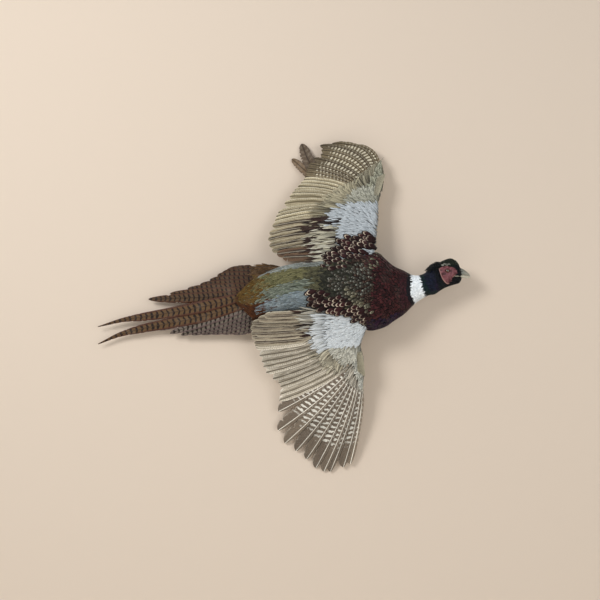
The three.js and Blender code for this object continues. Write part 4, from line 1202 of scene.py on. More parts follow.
# Each fan's quill roots and feather tips as x and z in mm, from its first feather on, how
# much its feathers bow, and how many mm a vane is wide before and behind its shaft.
FANS = {
    "left": {
        "primaries": dict(
            count=10, roots=[(50, 230), (78, 240), (104, 262)],
            tips=[(-57, 257), (-54, 274), (-43, 294), (-19, 311), (-22, 330), (42, 329)],
            bow=(0.1, 0.62), skew=-0.13, lead=5.5, trail=14),
        "secondaries": dict(
            count=11, roots=[(45, 226.5), (8, 203.5), (-29.5, 168)],
            tips=[(-59, 251), (-75, 233), (-91, 213), (-118, 174), (-127, 150)],
            bow=(0.12, 0.04), skew=-0.1, lead=7, trail=13),
        "tertials": dict(
            count=7, roots=[(-24, 160), (-34, 122), (-20, 78)],
            tips=[(-129, 148), (-139, 118), (-131, 93), (-106, 76)],
            bow=(0.05, 0.02), skew=-0.1, lead=8, trail=10)},
    "right": {
        "primaries": dict(
            count=10, roots=[(35, -170), (51, -194), (70, -214)],
            tips=[(-116, -268), (-113, -328), (-62, -369), (-25, -402), (4, -405), (45, -387)],
            bow=(0.05, 0.06), skew=-0.1, lead=5.5, trail=20),
        "secondaries": dict(
            count=11, roots=[(32, -168), (-21, -137.5), (-49, -103)],
            tips=[(-114, -243), (-112, -208), (-142, -182), (-155, -148), (-168, -118)],
            bow=(0.07, 0.04), skew=-0.1, lead=7, trail=14),
        "tertials": dict(
            count=7, roots=[(-44, -101), (-50, -73), (-54, -48)],
            tips=[(-169, -114), (-177, -92), (-174, -70), (-146, -54)],
            bow=(0.04, 0.02), skew=-0.1, lead=8, trail=10)},
}

flight_marks, given, result = new_group("flight_feather_markings", {
    **VANE_SOCKETS, "Pitch": "Float", "Bar Length": "Float", "Bar Reach": "Float",
    "Bar Middle": "Float", "Shaft Color": "Color", "Shaft": "Float", "Barred To": "Float",
    "Stripe": "Float", "Scatter": "Float"}, {"Color": "Color", "Height": "Float"})
(across, along, seed), real, signs, edge = read_feather(given)
side, across_mm = abs(across), abs(real[0])
wobble = noise(given["Real"], 0.16, 3.0) - 0.5
phase = (real[1] - across_mm * 0.35) / given["Pitch"] + wobble * 0.7 + seed * given["Scatter"]
bar = (abs(calc("FRACT", phase) - 0.5) / given["Bar Length"]) ** 2.0 + (
    abs(side - given["Bar Middle"]) / given["Bar Reach"]) ** 2.0
behind = calc("LESS_THAN", across, 0.0)
bar = (1.0 - fade(bar, 0.7, 1.25)) * (behind * signs[0] + (1.0 - behind) * signs[1]) * (
    1.0 - fade(along + wobble * 0.25 - given["Barred To"], -0.04, 0.05))
streaks = noise(flow(flight_marks, "VectorMath", {
    0: given["Real"], 1: (0.7, 0.035, 1.0)}, operation="MULTIPLY"), 1.0, 3.0) - 0.5
stripe = (1.0 - fade(side + streaks * 1.6, 0.18, 0.45)) * given["Stripe"]
flecks = fade(noise(given["Real"], 1.1, 3.0, Roughness=0.7), 0.52, 0.62) * signs[2]
rim = fade(side + wobble * 0.35, 1.0 - edge[1], 1.08 - edge[1] * 0.55) * edge[0]
shaft = (1.0 - fade(across_mm, 0.5, 0.95)) * given["Shaft"]
barbs = calc("SINE", real[1] * 5.0 - across_mm * 6.0)
clump = calc("SINE", (real[1] - across_mm) * 1.1 + wobble * 14.0)
colour = tint(calc("MAXIMUM", bar, calc("MAXIMUM", stripe, flecks)),
              given["Ground"], given["Mark"])
colour = tint(shaft, tint(rim, colour, given["Rim"]), given["Shaft Color"])
shade = (seed + streaks * 2.2) * 0.34 + barbs * 0.05 + clump * 0.07 + 0.83
send(flow(flight_marks, "VectorMath", {0: colour, 3: shade}, operation="SCALE"),
     result["Color"])
send(barbs + clump * 2.0, result["Height"])


def flight_material(name, shaft_colour, **values):
    values = dict(Bar_Length=0.2, Bar_Middle=0.5, Shaft=1.0, Stripe=0.0, Scatter=1.0) | values
    values["Shaft_Color"] = (*paint(shaft_colour), 1)
    return vane_material(name, flight_marks, 0.1, (0.35, 0.00015), values, Roughness=0.5,
                         Specular_IOR_Level=0.16, Sheen_Weight=0.05)


def fan_line(fan, side):
    """The line of the feather at share v of a fan, from root to tip, as x and z."""
    root_at, tip_at = smooth_line(fan["roots"]), smooth_line(fan["tips"])

    def line(v, t):
        root, tip = root_at(v), tip_at(v)
        chord = tip - root
        outwards = np.stack([chord[..., 1], -chord[..., 0]], -1) * side
        bow = mix(fan["bow"][0], fan["bow"][1], v**2)[..., None]
        bend = mix(root, tip, 0.5 + fan["skew"]) + outwards * bow
        t = t[..., None]
        return root * (1 - t) ** 2 + bend * 2 * t * (1 - t) + tip * t**2
    return line


def flight_outline(t, tip_from, power):
    """Share of a flight feather's width along it, rounded off from tip_from on."""
    tip = np.clip((t - tip_from) / (1 - tip_from), 0, 1)
    return (0.25 + 0.75 * ease(t, -0.02, 0.2)) * np.sqrt(np.clip(1 - tip**power, 0.004, 1))


def torn_edges(t, count, depth, rng):
    """Share of the vane left where its barbs have parted, for each feather."""
    left = np.ones(t.shape)
    for _ in range(count):
        place = rng.uniform(0.3, 0.97, (len(t), 1))
        left -= rng.uniform(0, depth, (len(t), 1)) * np.exp(-((t - place) / 0.009) ** 2)
    return np.clip(left, 0.35, 1)


def flight_points(line, v, pitch, side, lead, trail, height, rows, rng, tip_from=0.72,
                  power=2.4, tilt=0.085, splits=5, tear=0.35, lift=0.0, shaft=0.6, free=False,
                  outline=None):
    """Top and underside of flight feathers [feather, row, column, 3], and their lie."""
    t = np.tile(np.linspace(-0.02, 1, rows), (len(v), 1))
    share = np.tile(v[:, None], (1, rows))
    middle = line(share, t)
    ahead = unit(line(share, t + 0.01) - line(share, t - 0.01))
    outwards = np.stack([ahead[..., 1], -ahead[..., 0]], -1) * side
    inner = np.where(share + pitch > 1.001, share - pitch, share + pitch)
    spacing = np.abs(dot(line(inner, t) - middle, outwards))
    outline = outline(t) if outline else flight_outline(t, tip_from, power)
    crowd = (1e3, 1e3) if free else (0.75 * spacing + 1.5, 1.6 * spacing + 2)
    wide_lead = np.minimum(crowd[0], lead) * outline * torn_edges(t, splits, tear * 0.6, rng)
    wide_trail = np.minimum(crowd[1], trail) * outline * torn_edges(t, splits, tear, rng)
    columns = np.array(FLIGHT_COLUMNS)[None, None]
    aside = np.where(columns > 0, wide_lead[..., None], wide_trail[..., None]) * columns
    shaft_half = shaft * (1 - 0.75 * np.clip(t, 0, 1))
    for column, way in zip(SHAFT_COLUMNS, (-1, 0, 1)):
        aside[..., column] = way * np.minimum(shaft_half, wide_lead * 0.5 + 0.02)
    place = middle[:, :, None] + outwards[:, :, None] * aside[..., None]
    across = np.where(aside > 0, aside / np.maximum(wide_lead, 0.05)[..., None],
                      aside / np.maximum(wide_trail, 0.05)[..., None])
    far = np.cumsum(np.linalg.norm(np.gradient(middle, axis=1), axis=-1), 1)[..., None]
    up = height(place[..., 0], place[..., 1]) + tilt * aside - VANE_ARCH * aside**2 + lift
    ridge = np.zeros(len(FLIGHT_COLUMNS))
    ridge[SHAFT_COLUMNS[1]] = 1
    over = up + VANE_HALF_THICK + ridge * (0.25 + 0.5 * shaft_half[..., None])
    under = up - VANE_HALF_THICK - ridge * (0.3 + 0.8 * shaft_half[..., None])
    both = np.stack([np.stack([place[..., 0], -h, place[..., 1]], -1) for h in (over, under)], 1)
    return MM * both, across, aside, far + 0 * aside, t[..., None] + 0 * aside


def flight_look(count, rng, colours, signs, edge, brown=0):
    """What each feather looks like. The last few may be brown ones."""
    first, second, mark, rim = (paint(code) for code in colours.split())
    look = dict(ground=mix(first, second, rng.random((count, 1))), mark=mark, rim=rim,
                signs=signs, edge=edge)
    look = {key: np.broadcast_to(value, (count, 3)) * 1.0 for key, value in look.items()}
    if brown:
        look["ground"][-brown:], look["rim"][-brown:] = (paint(code) for code in BROWN_VANES)
    return look


def lay_flight(name, replaced, material, slot, rng, look, line, v, *vane, **shape):
    """A row of flight feathers, each closed into one vane, joined into a piece."""
    points, across, aside, reach, along = flight_points(line, v, *vane, rng, **shape)
    count, _, rows, columns, _ = points.shape
    size = rows * columns
    top = grid_faces(rows, columns)
    a, b, c = (points[count // 2, 0].reshape(-1, 3)[[face[k] for face in top]].mean(0)
               for k in range(3))
    if np.cross(b - a, c - b)[1] > 0:
        top = [face[::-1] for face in top]
    under = [tuple(size + i for i in face[::-1]) for face in top]
    used = {(face[i], face[(i + 1) % 4]) for face in top for i in range(4)}
    border = sorted(pair for pair in used if pair[::-1] not in used)
    faces = top + under + [(j, i, size + i, size + j) for i, j in border]
    smooth = np.arange(len(faces)) < 2 * len(top)
    across, aside, reach, along = (np.stack([v, v], 1) for v in (across, aside, reach, along))
    seed = np.random.default_rng(5).random(count)[:, None, None, None] + 0 * across
    strips = np.arange(count)[:, None, None, None] + np.array([0, count])[None, :, None, None]
    spots = np.stack([(strips + 0.5 + 0.44 * across) / (2 * count),
                      0.02 + 0.96 * np.clip(along, 0, 1)], -1)
    stored = {"lie": np.stack([across, along, seed], -1),
              "real": np.stack([aside, reach, seed * 90], -1), **flight_look(count, rng, *look)}
    join_vanes(f"flight_{name}", points.reshape(count, -1, 3), faces, smooth, stored, spots,
               material, slot, [replaced])


barred_right = flight_material(
    "barred_right_primaries", "#e6e0d2", Pitch=11.5, Bar_Length=0.24, Bar_Reach=0.45,
    Barred_To=0.74, Scatter=0.5)
barred_left = flight_material(
    "barred_left_primaries", "#2e241a", Pitch=7.8, Bar_Length=0.26, Bar_Reach=0.55,
    Barred_To=0.85, Scatter=0.3)
buff_vanes = flight_material(
    "buff_secondaries", "#3c3426", Pitch=5.0, Bar_Reach=0.6, Shaft=0.85, Barred_To=0.95,
    Stripe=0.75, Scatter=3.0)
dark_vanes = flight_material(
    "dark_tertials", "#d6cdb4", Pitch=9.0, Bar_Reach=0.3, Bar_Middle=0.55, Shaft=0.4,
    Barred_To=1.0, Stripe=0.95, Scatter=3.0)
FLIGHT_LOOKS = {
    ("right", "primaries"): (
        barred_right, "#5c5044 #6e6152 #d2cfc4 #a2988a", (1.0, 0.2, 0.15), (0.6, 0.2, 0)),
    # The left primaries' dark rims are painted shade in the gaps between the feathers.
    ("left", "primaries"): (
        barred_left, "#5a4e3a #6e6148 #cfc7b0 #3e3324", (0.95, 0.2, 0.15), (0.75, 0.25, 0)),
    ("right", "secondaries"): (
        buff_vanes, "#b4ac9b #c2baaa #756a58 #e2dccf", (0.3, 0.5, 0.3), (0.8, 0.3, 0)),
    ("left", "secondaries"): (
        buff_vanes, "#a89d82 #b4a98e #6a5e42 #d2c8ae", (0.35, 0.5, 0.35), (0.8, 0.3, 0)),
    ("right", "tertials"): (
        dark_vanes, "#867c6a #9a8f7c #2c1c18 #b4ac98", (0.1, 0.1, 0.35), (0.75, 0.35, 0)),
    ("left", "tertials"): (
        dark_vanes, "#80745c #92866c #241714 #b0a78f", (0.1, 0.1, 0.4), (0.75, 0.35, 0), 2),
}
SLOTS = {"primaries": "barred_primary_feathers", "secondaries": "buff_secondary_feathers",
         "tertials": "dark_tertial_feathers"}
for wing_name, fans in FANS.items():
    wing = WINGS[wing_name]
    for fan_name, fan in fans.items():
        rng = np.random.default_rng(len(wing_name) * 10 + len(fan_name))
        count = fan["count"]
        v = np.clip((np.arange(count) + 0.1) / (count - 1), 0, 1)
        v = np.clip(v + rng.normal(0, 0.012, count), 0, 1)
        primary = fan_name == "primaries"
        material, *look = FLIGHT_LOOKS[wing_name, fan_name]
        lay_flight(
            f"{wing_name}_{fan_name}", f"wing_{wing_name}_{fan_name}", material,
            SLOTS[fan_name], rng, look, fan_line(fan, wing["side"]), v, 1 / (count - 1),
            wing["side"], fan["lead"], fan["trail"], lambda x, z: wing_height(wing, x, z),
            88 if primary else 52, tip_from=0.8 if primary else 0.84, power=2.6,
            tilt=0.085 if primary else 0.12, splits=8 if primary else 5, tear=0.4,
            lift=1.2 if fan_name == "tertials" else 0)

# ---- alula and bent feathers ----------------
# The thumb's few short stiff feathers on each wing's front edge, and two feathers that were
# knocked askew behind the left wing's tip and never went back.

# Where each alula starts and ends, and how far it is lifted. Then each bent feather's line,
# half width, how far it sinks, and its colour.
ALULA = {"left": ((100, 214), (115, 264), 7.0), "right": ((62, -132), (69, -188), 7.0)}
ALULA_COUNT = 5
BENT = {"upper": ([(-30, 262), (-50, 298), (-64, 334)], 14, 6.3, "#4c3e30"),
        "lower": ([(-34, 250), (-62, 278), (-86, 300)], 10, 8.0, "#6a5640")}

speckled_vanes = flight_material(
    "speckled_alula", "#b9b29c", Pitch=4.0, Bar_Length=0.25, Bar_Reach=0.8, Bar_Middle=0.6,
    Shaft=0.5, Barred_To=1.2)
for wing_name, (start, end, lift) in ALULA.items():
    wing = WINGS[wing_name]
    start, end = np.array(start, float), np.array(end, float)
    way = end - start
    beside = np.array([way[1], -way[0]]) / np.linalg.norm(way) * wing["side"]
    at_v = lambda v, t: (start + beside * (0.6 - v[..., None]) * 8) * (1 - t[..., None]) + (
        end + beside * (0.5 - v[..., None]) * 12 - way * 0.2 * v[..., None]) * t[..., None]
    lay_flight(
        f"{wing_name}_alula", f"wing_{wing_name}_alula", speckled_vanes,
        "barred_primary_feathers", np.random.default_rng(61),
        ("#3c3627 #504938 #8a856e #b4af98", (0.2, 0.2, 0.4), (0.95, 0.45, 0)), at_v,
        np.linspace(0, 1, ALULA_COUNT), 0.3, wing["side"], 1.7, 2.6,
        lambda x, z: wing_height(wing, x, z), 36, lift=lift, free=True)

bent_vanes = flight_material(
    "bent_feather_vanes", "#241c18", Pitch=11.0, Bar_Reach=0.5, Bar_Middle=0.6, Shaft=0.9,
    Barred_To=1.0)
for name, (points, half, sink, tone) in BENT.items():
    bent_line = smooth_line(points)
    lay_flight(
        f"bent_{name}", f"wing_left_bent_feather_{name}", bent_vanes, "dark_tertial_feathers",
        np.random.default_rng(63),
        (f"{tone} {tone} #8d8272 #5c5046", (0.25, 0.25, 0.25), (0.5, 0.4, 0)),
        lambda v, t: bent_line(t), np.array([0.5]), 0.3, 1, half, half,
        lambda x, z: wing_height(WINGS["left"], x, z), 60, lift=-sink, free=True,
        tip_from=0.45, power=2.2, splits=9, tear=0.45, tilt=0.05)

# ---- wing coverts ---------------------------
# Rows of small feathers over the fleshy front of each wing, over it and under it, from fine
# hair-like ones at the front edge to the long greater coverts over the quills' roots.
COVERT_SHEET = dict(rows=60, columns=70, along=(-0.1, 1.1), back=(-0.03, 1.9))
COVERT_AIM_REACH = 22
COVERT_SCATTER = 0.25             # share of the gaps between roots
MOST_STRETCH, LEAST_WIDTH, LAST_SHARE = 1.12, 0.45, 0.95      # past these, one is left out
# Share of the way back from the front edge: from, to, and spacing along and back, in mm.
COVERT_ROWS = [(0.01, 0.5, 3.2, 3.2), (0.46, 0.74, 3.6, 4.6), (0.74, 0.86, 4.4, 7)]


def wing_sheet(wing, part, over):
    """The sheet that coverts lie on, with its normals away from the flesh."""
    along = np.linspace(*COVERT_SHEET["along"], COVERT_SHEET["rows"])[:, None]
    back = np.linspace(*COVERT_SHEET["back"], COVERT_SHEET["columns"])[None]
    points = plate_at(wing, part, along + 0 * back, back + 0 * along, over, 0.5)
    return make_sheet(points, outward=wing["side"] * (1 if over else -1))


def covert_aim(wing_name, places):
    """The way that coverts point at places on a wing: with the quills nearest to them."""
    wing = WINGS[wing_name]
    roots, ways = [], []
    for fan in FANS[wing_name].values():
        line, v = fan_line(fan, wing["side"]), np.linspace(0, 1, fan["count"])
        roots.append(line(v, 0 * v))
        ways.append(unit(line(v, 0 * v + 0.3) - line(v, 0 * v)))
    roots, ways = np.concatenate(roots), np.concatenate(ways)
    apart = np.linalg.norm(places[:, None, [0, 2]] / MM - roots[None], axis=-1)
    near = np.exp(-(apart / COVERT_AIM_REACH) ** 2 / 2) + 1e-9 / (1 + apart)
    aim = unit((near[..., None] * ways[None]).sum(1))
    return np.stack([aim[:, 0], 0 * aim[:, 0], aim[:, 1]], -1)


def grow_coverts(name, wing_name, part, over, regions, material, seed):
    """Rows of coverts over or under an arm or a hand."""
    wing, rng = WINGS[wing_name], np.random.default_rng(seed)
    sheet = wing_sheet(wing, part, over)
    lead, trail = (smooth_line(wing[f"{part}_{edge}"])(np.linspace(0, 1, 60))
                   for edge in ("lead", "trail"))
    long = np.linalg.norm(np.diff((lead + trail) / 2, axis=0), axis=1).sum()
    deep = np.linalg.norm(trail - lead, axis=1).mean()
    alongs, backs = [], []
    for first, last, apart, behind in COVERT_ROWS:
        for k, back in enumerate(np.arange(first, last, behind / deep)):
            count = max(int(long / apart), 3)
            share = (np.arange(count) + 0.5 * (k % 2)) / count
            alongs.append(share + rng.normal(0, COVERT_SCATTER / count, count))
            backs.append(back + rng.normal(0, COVERT_SCATTER * behind / deep, count))
    along, back = np.concatenate(alongs), np.clip(np.concatenate(backs), 0, None)
    (a0, a1), (b0, b1) = COVERT_SHEET["along"], COVERT_SHEET["back"]
    p = (along - a0) / (a1 - a0) * (COVERT_SHEET["rows"] - 1)
    q = (back - b0) / (b1 - b0) * (COVERT_SHEET["columns"] - 1)
    root = on_sheet(sheet, p, q)
    shares = MM * 100 * np.stack([along, 0 * along, back], -1)
    look, size = colour_feathers(shares, regions, rng, 1.4)

    def sound(points):
        """Which feathers the sheet's bends haven't stretched or squeezed too far."""
        spread = np.linalg.norm(points - root[:, None], axis=-1).max(1)
        wide = np.linalg.norm(points[:, 14] - points[:, 10], axis=-1)
        return (spread < MOST_STRETCH * size[:, 0]) & (wide > LEAST_WIDTH * size[:, 1]) & (
            along < LAST_SHARE)

    lay_feathers(name, sheet, p, q, (0, 1), look, size, rng.normal(0, 0.1, len(p)), rng,
                 material, "grey_covert_plumage", root=-0.9,
                 tip=mix(0.6, 1.5, ease(back, 0.4, 0.8)), cup=0.18, ragged=0.07,
                 toward=covert_aim(wing_name, root), sound=sound)


# Regions as on the trunk, but x is percent of the way out and z percent of the way back.
pale_fine = (0, 0.15), (0.3, 0.2, 0.5)
COVERT_LOOKS = {
    ("right", "arm"): [
        ("#ced4d8 #bcc4c9 #8e9496 #e6eaec", *pale_fine, 16, 3.6, everywhere),
        ("#7c7a6c #a3a296 #4c4a3e #d8d8ce", (0, 0.4), (0.5, 0.6, 0), 24, 3.4,
         lambda x, z, *_: x > 60 + 0.1 * z),
        ("#5c5546 #a8a18c #4c4638 #d6d0bc", (0, 0.3), (0.3, 0.5, 0), 48, 3.8,
         lambda x, z, *_: (z > 84) | ((z > 60) & (x > 66))),
        ("#c6ccd0 #b2b7b7 #8e9496 #dfe3e4", *pale_fine, 32, 3.8,
         lambda x, z, *_: (x < 66) & (z > 62) & (z < 80)),
        ("#b4b3aa #877f6e #6c6a5c #d0cfc4", (0, 0.2), (0.2, 0.3, 0), 48, 3.8,
         lambda x, z, *_: (x < 34) & (z > 72)),
        ("#221512 #38241e #140c0a #4a372e", (0, 0), (0.3, 0, 0), 56, 4.2,
         lambda x, z, *_: (x < 40) & (z > 72) & (np.sin(x * 0.9 + 1) > 0.1))],
    ("left", "arm"): [
        ("#b6bdc2 #a0a8ad #787e80 #d4d9dc", *pale_fine, 16, 3.6, everywhere),
        ("#6c6b5c #8e8d7e #403e30 #c6c6b8", (0, 0.4), (0.5, 0.6, 0), 24, 3.4,
         lambda x, z, *_: x > 74),
        ("#7a735e #9c957c #5a5442 #c6bea4", (0, 0.3), (0.3, 0.5, 0), 46, 3.8,
         lambda x, z, *_: (z > 80) | ((z > 60) & (x > 72))),
        ("#b4b1a2 #8c8670 #5c584a #c8c4b4", (0, 0.2), (0.2, 0.3, 0), 48, 3.8,
         lambda x, z, *_: (x < 50) & (z > 56)),
        ("#1e1310 #33211b #120a08 #45332a", (0, 0), (0.3, 0, 0), 58, 4.2,
         lambda x, z, *_: (x < 60) & (z > 58) & (np.sin(x * 0.8 + 2) > 0.2))],
    ("right", "hand"): [
        ("#77766a #a9aaa2 #4a483e #dcdcd2", (0, 0.5), (0.9, 0.4, 0), 15, 4, everywhere),
        ("#5c5446 #a39c8e #443e32 #dcd8cb", (0, 0.3), (0.4, 0.7, 0), 38, 3.8,
         lambda x, z, *_: z > 45)],
    ("left", "hand"): [
        ("#5c5b49 #807f6c #33332a #c4c4b0", (0, 0.5), (0.95, 0.5, 0), 15, 4, everywhere),
        ("#4c4636 #8e8872 #38321f #c8c2ac", (0, 0.4), (0.4, 0.6, 0), 36, 3.8,
         lambda x, z, *_: z > 45)],
}
UNDER_LOOK = [
    ("#b4a98c #c4baa0 #6e624c #d9d2bc", (0, 0.55), (0.4, 0.2, 0), 15, 5, everywhere),
    ("#a39b86 #b3ab96 #7b725e #cfc8b4", (0, 0.25), (0.4, 0.3, 0), 38, 8, lambda x, z, *_: z > 60)]
covert_plumage = plumage_material("covert_plumage", 0.6, 0.1, 0.12, 0.08)
for seed, ((wing_name, part), regions) in enumerate(COVERT_LOOKS.items()):
    for over in (True, False):
        layer = "coverts" if over else "under_coverts"
        grow_coverts(f"coat_{wing_name}_{part}_{layer}", wing_name, part, over,
                     regions if over else UNDER_LOOK, covert_plumage, 70 + 2 * seed + over)

# ---- tail -----------------------------------
# Eighteen long barred feathers, stepped from short outer ones to the two in the middle that
# end in thin points. Those two lie on top, and the rest slope away under them like a roof.
TAIL_ROOT_X = -168
TAIL_SIDES = {
    "left": dict(side=1, roots=[(-168, -8), (-168, 22), (-168, 50)],
                 tips=[(-414, -18), (-330, 4), (-280, 21), (-249, 39), (-232, 47)]),
    "right": dict(side=-1, roots=[(-168, -18), (-168, -48), (-168, -78)],
                  tips=[(-388, -84), (-342, -96), (-300, -95), (-262, -93), (-222, -91)])}
TAIL_SIDE_COUNT = 8
TAIL_TONES = {"left": "#463624 #523b27 #170e09 #46291c",
              "right": "#6a6152 #645a52 #17110d #5c4a4a"}
TAIL_LONG = {                     # each one's line, and its rise over the sides
    "left": ([(-168, -4), (-300, -36), (-418, -56), (-460, -62), (-521, -78)], 4.4),
    "right": ([(-168, -22), (-300, -58), (-424, -83), (-470, -95), (-521, -117)], 2.2)}
TAIL_LONG_HALF = 18


def tail_height(x, z):
    """How far the tail is off the wall, in mm: a roof whose ridge is the two long feathers."""
    back = TAIL_ROOT_X - x
    sideways = (z - (-13 - 0.235 * back)) / 60
    return 38 - 0.07 * back - 5 * np.minimum(sideways**2, 1.5)


def tail_point(t):
    """Share of a long feather's half width: full soon after its root, then ever narrower."""
    half = 0.9 + 16.5 * np.clip(1 - t, 0, 1) ** 0.95 * np.minimum(1, 0.35 + 3 * t)
    return half / TAIL_LONG_HALF


tail_vanes = flight_material(
    "barred_tail_vanes", "#2c2018", Pitch=10.8, Bar_Reach=0.95, Bar_Middle=0.2, Shaft=0.8,
    Barred_To=1.2, Scatter=0.25)
long_vanes = flight_material(
    "barred_long_tail_vanes", "#3a2a1e", Pitch=12.2, Bar_Reach=0.9, Bar_Middle=0.2, Shaft=0.8,
    Barred_To=1.2, Scatter=0.1)
for name, fan in TAIL_SIDES.items():
    root_at, tip_at = smooth_line(fan["roots"]), smooth_line(fan["tips"])
    lay_flight(
        f"tail_{name}", f"tail_{name}", tail_vanes, "barred_tail_feathers",
        np.random.default_rng(81), (TAIL_TONES[name], (1, 1, 0.2), (0.85, 0.4, 0)),
        lambda v, t: mix(root_at(v), tip_at(v), t[..., None]),
        np.linspace(0.02, 1, TAIL_SIDE_COUNT), 1 / (TAIL_SIDE_COUNT - 1), fan["side"], 11, 13,
        tail_height, 70, tip_from=0.5, power=1.7, splits=7, tear=0.3, lift=1.0, free=True,
        tilt=0.07)
for name, (points, rise) in TAIL_LONG.items():
    long_line = smooth_line(points)
    lay_flight(
        f"tail_long_{name}", f"tail_long_{name}", long_vanes, "barred_tail_feathers",
        np.random.default_rng(83),
        ("#564028 #564028 #190f0a #482a20", (1, 1, 0.1), (0.85, 0.45, 0)),
        lambda v, t: long_line(t), np.array([0.5]), 0.3, 1, TAIL_LONG_HALF, TAIL_LONG_HALF,
        tail_height, 150, outline=tail_point, splits=12, tear=0.2, lift=rise, free=True,
        tilt=0.0, shaft=0.9)

# ---- tail coverts ---------------------------
# Long loose plumes that run from the rump out over the tail's root, brown and rufous at the
# flanks, and a darker set that closes the tail's root underneath.

# Along x: the upper and lower edges of the plumes' sheet, how far it is off the wall over
# and under the tail, and how far its edges slope down.
TAIL_COVERT_AT = dict(x=[-60, -120, -150, -170, -190, -210, -240, -340],
                      upper=[50, 52, 52, 50, 47, 44, 36, 16],
                      lower=[-48, -53, -58, -66, -74, -80, -86, -90],
                      over=[92, 84, 73, 62, 50, 43.5, 40, 34],
                      under=[12, 19, 24, 26, 25, 23, 22, 20], roof=[24, 20, 15, 11, 7, 6, 6, 6])
TAIL_COVERT_ROWS, TAIL_COVERT_COLUMNS = 120, 60
TAIL_COVERT_ENDS = (-60, -340)
PLUME_STEP, PLUMES_IN_ROW, PLUME_TIP_BEHIND = 4.0, 38, 20


def tail_sheet(over):
    """The sheet that the plumes over or under the tail lie on."""
    x = np.linspace(*TAIL_COVERT_ENDS, TAIL_COVERT_ROWS)[:, None]
    at = {key: np.interp(-x, -np.array(TAIL_COVERT_AT["x"], float), values)
          for key, values in TAIL_COVERT_AT.items() if key != "x"}
    share = np.linspace(-1, 1, TAIL_COVERT_COLUMNS)[None] * (1.12 if over else 0.66)
    z = mix(at["lower"], at["upper"], (share + 1) / 2)
    y = (-at["over"] + at["roof"] * share**2) if over else (-at["under"] - 6 * share**2)
    return make_sheet(MM * np.stack([x + 0 * share, y, z], -1), outward=-1 if over else 1)


TAIL_COVERT_REGIONS = [
    ("#57431f #46351a #2a1e0e #7a6436", (0, 0.2), (0.35, 0.2, 0), 26, 4.4, everywhere),
    ("#4f3a24 #3e2c1a #241810 #6a5238", (0, 0.3), (0.4, 0.2, 0), 34, 5.5, lambda x, z, *_: z > 34),
    ("#48280f #34200e #1e1008 #64401e", (0, 0.1), (0.3, 0.1, 0), 26, 5, lambda x, z, *_: z < -24),
    ("#5a4a46 #6a5c5c #2c2422 #7c6e70", (0, 0.4), (0.5, 0.2, 0), 30, 6,
     lambda x, z, *_: (z < -50) & (x < -178)),
]
UNDERTAIL_REGIONS = [
    ("#2e201a #3c2a20 #1a110d #5c4634", (0, 0.15), (0.4, 0.1, 0), 46, 9, everywhere),
    ("#46301e #553a24 #241810 #664a30", (0, 0.2), (0.4, 0.1, 0), 46, 8,
     lambda x, z, *_: (np.abs(z + 8) > 28))]
tail_covert_plumage = plumage_material("tail_covert_plumage", 0.7, 0.06, 0.1, 0.06)
for name, over, regions, first, last in (
        ("tail_coverts", True, TAIL_COVERT_REGIONS, -96, -151),
        ("undertail_coverts", False, UNDERTAIL_REGIONS, -104, -236)):
    rng = np.random.default_rng(91 + over)
    sheet = tail_sheet(over)
    rows_at, columns_at, (start, end) = [], [], TAIL_COVERT_ENDS
    for k, x in enumerate(np.arange(first, last, -PLUME_STEP)):
        row = (start - x) / (start - end) * (TAIL_COVERT_ROWS - 1)
        rows_at.append(row + rng.normal(0, 0.7, PLUMES_IN_ROW))
        columns_at.append(np.linspace(2, TAIL_COVERT_COLUMNS - 3, PLUMES_IN_ROW)
                          + (k % 2) * 0.9 + rng.normal(0, 0.4, PLUMES_IN_ROW))
    p, q = np.concatenate(rows_at), np.concatenate(columns_at)
    tips = on_sheet(sheet, p, q) - np.array([PLUME_TIP_BEHIND * MM, 0, 0])
    look, size = colour_feathers(tips, regions, rng, 4)
    lay_feathers(f"coat_{name}", sheet, p, q, (1, 0), look, size, rng.normal(0, 0.09, len(p)),
                 rng, tail_covert_plumage, "brown_covert_plumage", [name], root=-2.5,
                 tip=rng.uniform(0.2, 2.0, len(p)), cup=0.2, ragged=0.08,
                 bend=rng.normal(0, 0.05, len(p)))

# ---- thighs ---------------------------------
# Soft brown feathers down each thigh, which lies back along the belly. They grow on the
# thigh's part of the skin and thin out to short ones at the heel.
THIGH_ROW_GAP, THIGH_FEATHERS = 0.62, 15   # between rows, and in a row
THIGH_REGIONS = [
    ("#3a2a22 #4a362a #241812 #6c543c", (0, 0.2), (0.5, 0.1, 0), 16, 7, everywhere),
    ("#6a5238 #7c6244 #3c2c1c #94785a", (0, 0.1), (0.4, 0.1, 0), 13, 5, lambda x, z, *_: x < -70)]
for name, rings in zip(("left", "right"), thigh_rings):
    rng = np.random.default_rng(97)
    sheet = make_sheet(rings, closed=True)
    p = np.repeat(np.arange(0.5, THIGH_ROWS - 1.5, THIGH_ROW_GAP), THIGH_FEATHERS)
    q = np.tile(np.arange(THIGH_FEATHERS) * THIGH_SPOKES / THIGH_FEATHERS,
                len(p) // THIGH_FEATHERS) + (p * 3 % 1) + rng.normal(0, 0.2, len(p))
    look, size = colour_feathers(on_sheet(sheet, p, q), THIGH_REGIONS, rng)
    lay_feathers(f"coat_thigh_{name}", sheet, p, q, (1, 0), look, size,
                 rng.normal(0, 0.12, len(p)), rng, trunk_plumage, "brown_covert_plumage",
                 root=-1, tip=2, ragged=0.05)

# ---- legs -----------------------------------
# Bare shanks and feet in dry scaled skin, folded back under the tail. Rows of scutes overlap
# down the shank and toes like roof tiles, and each toe ends in a horn claw.

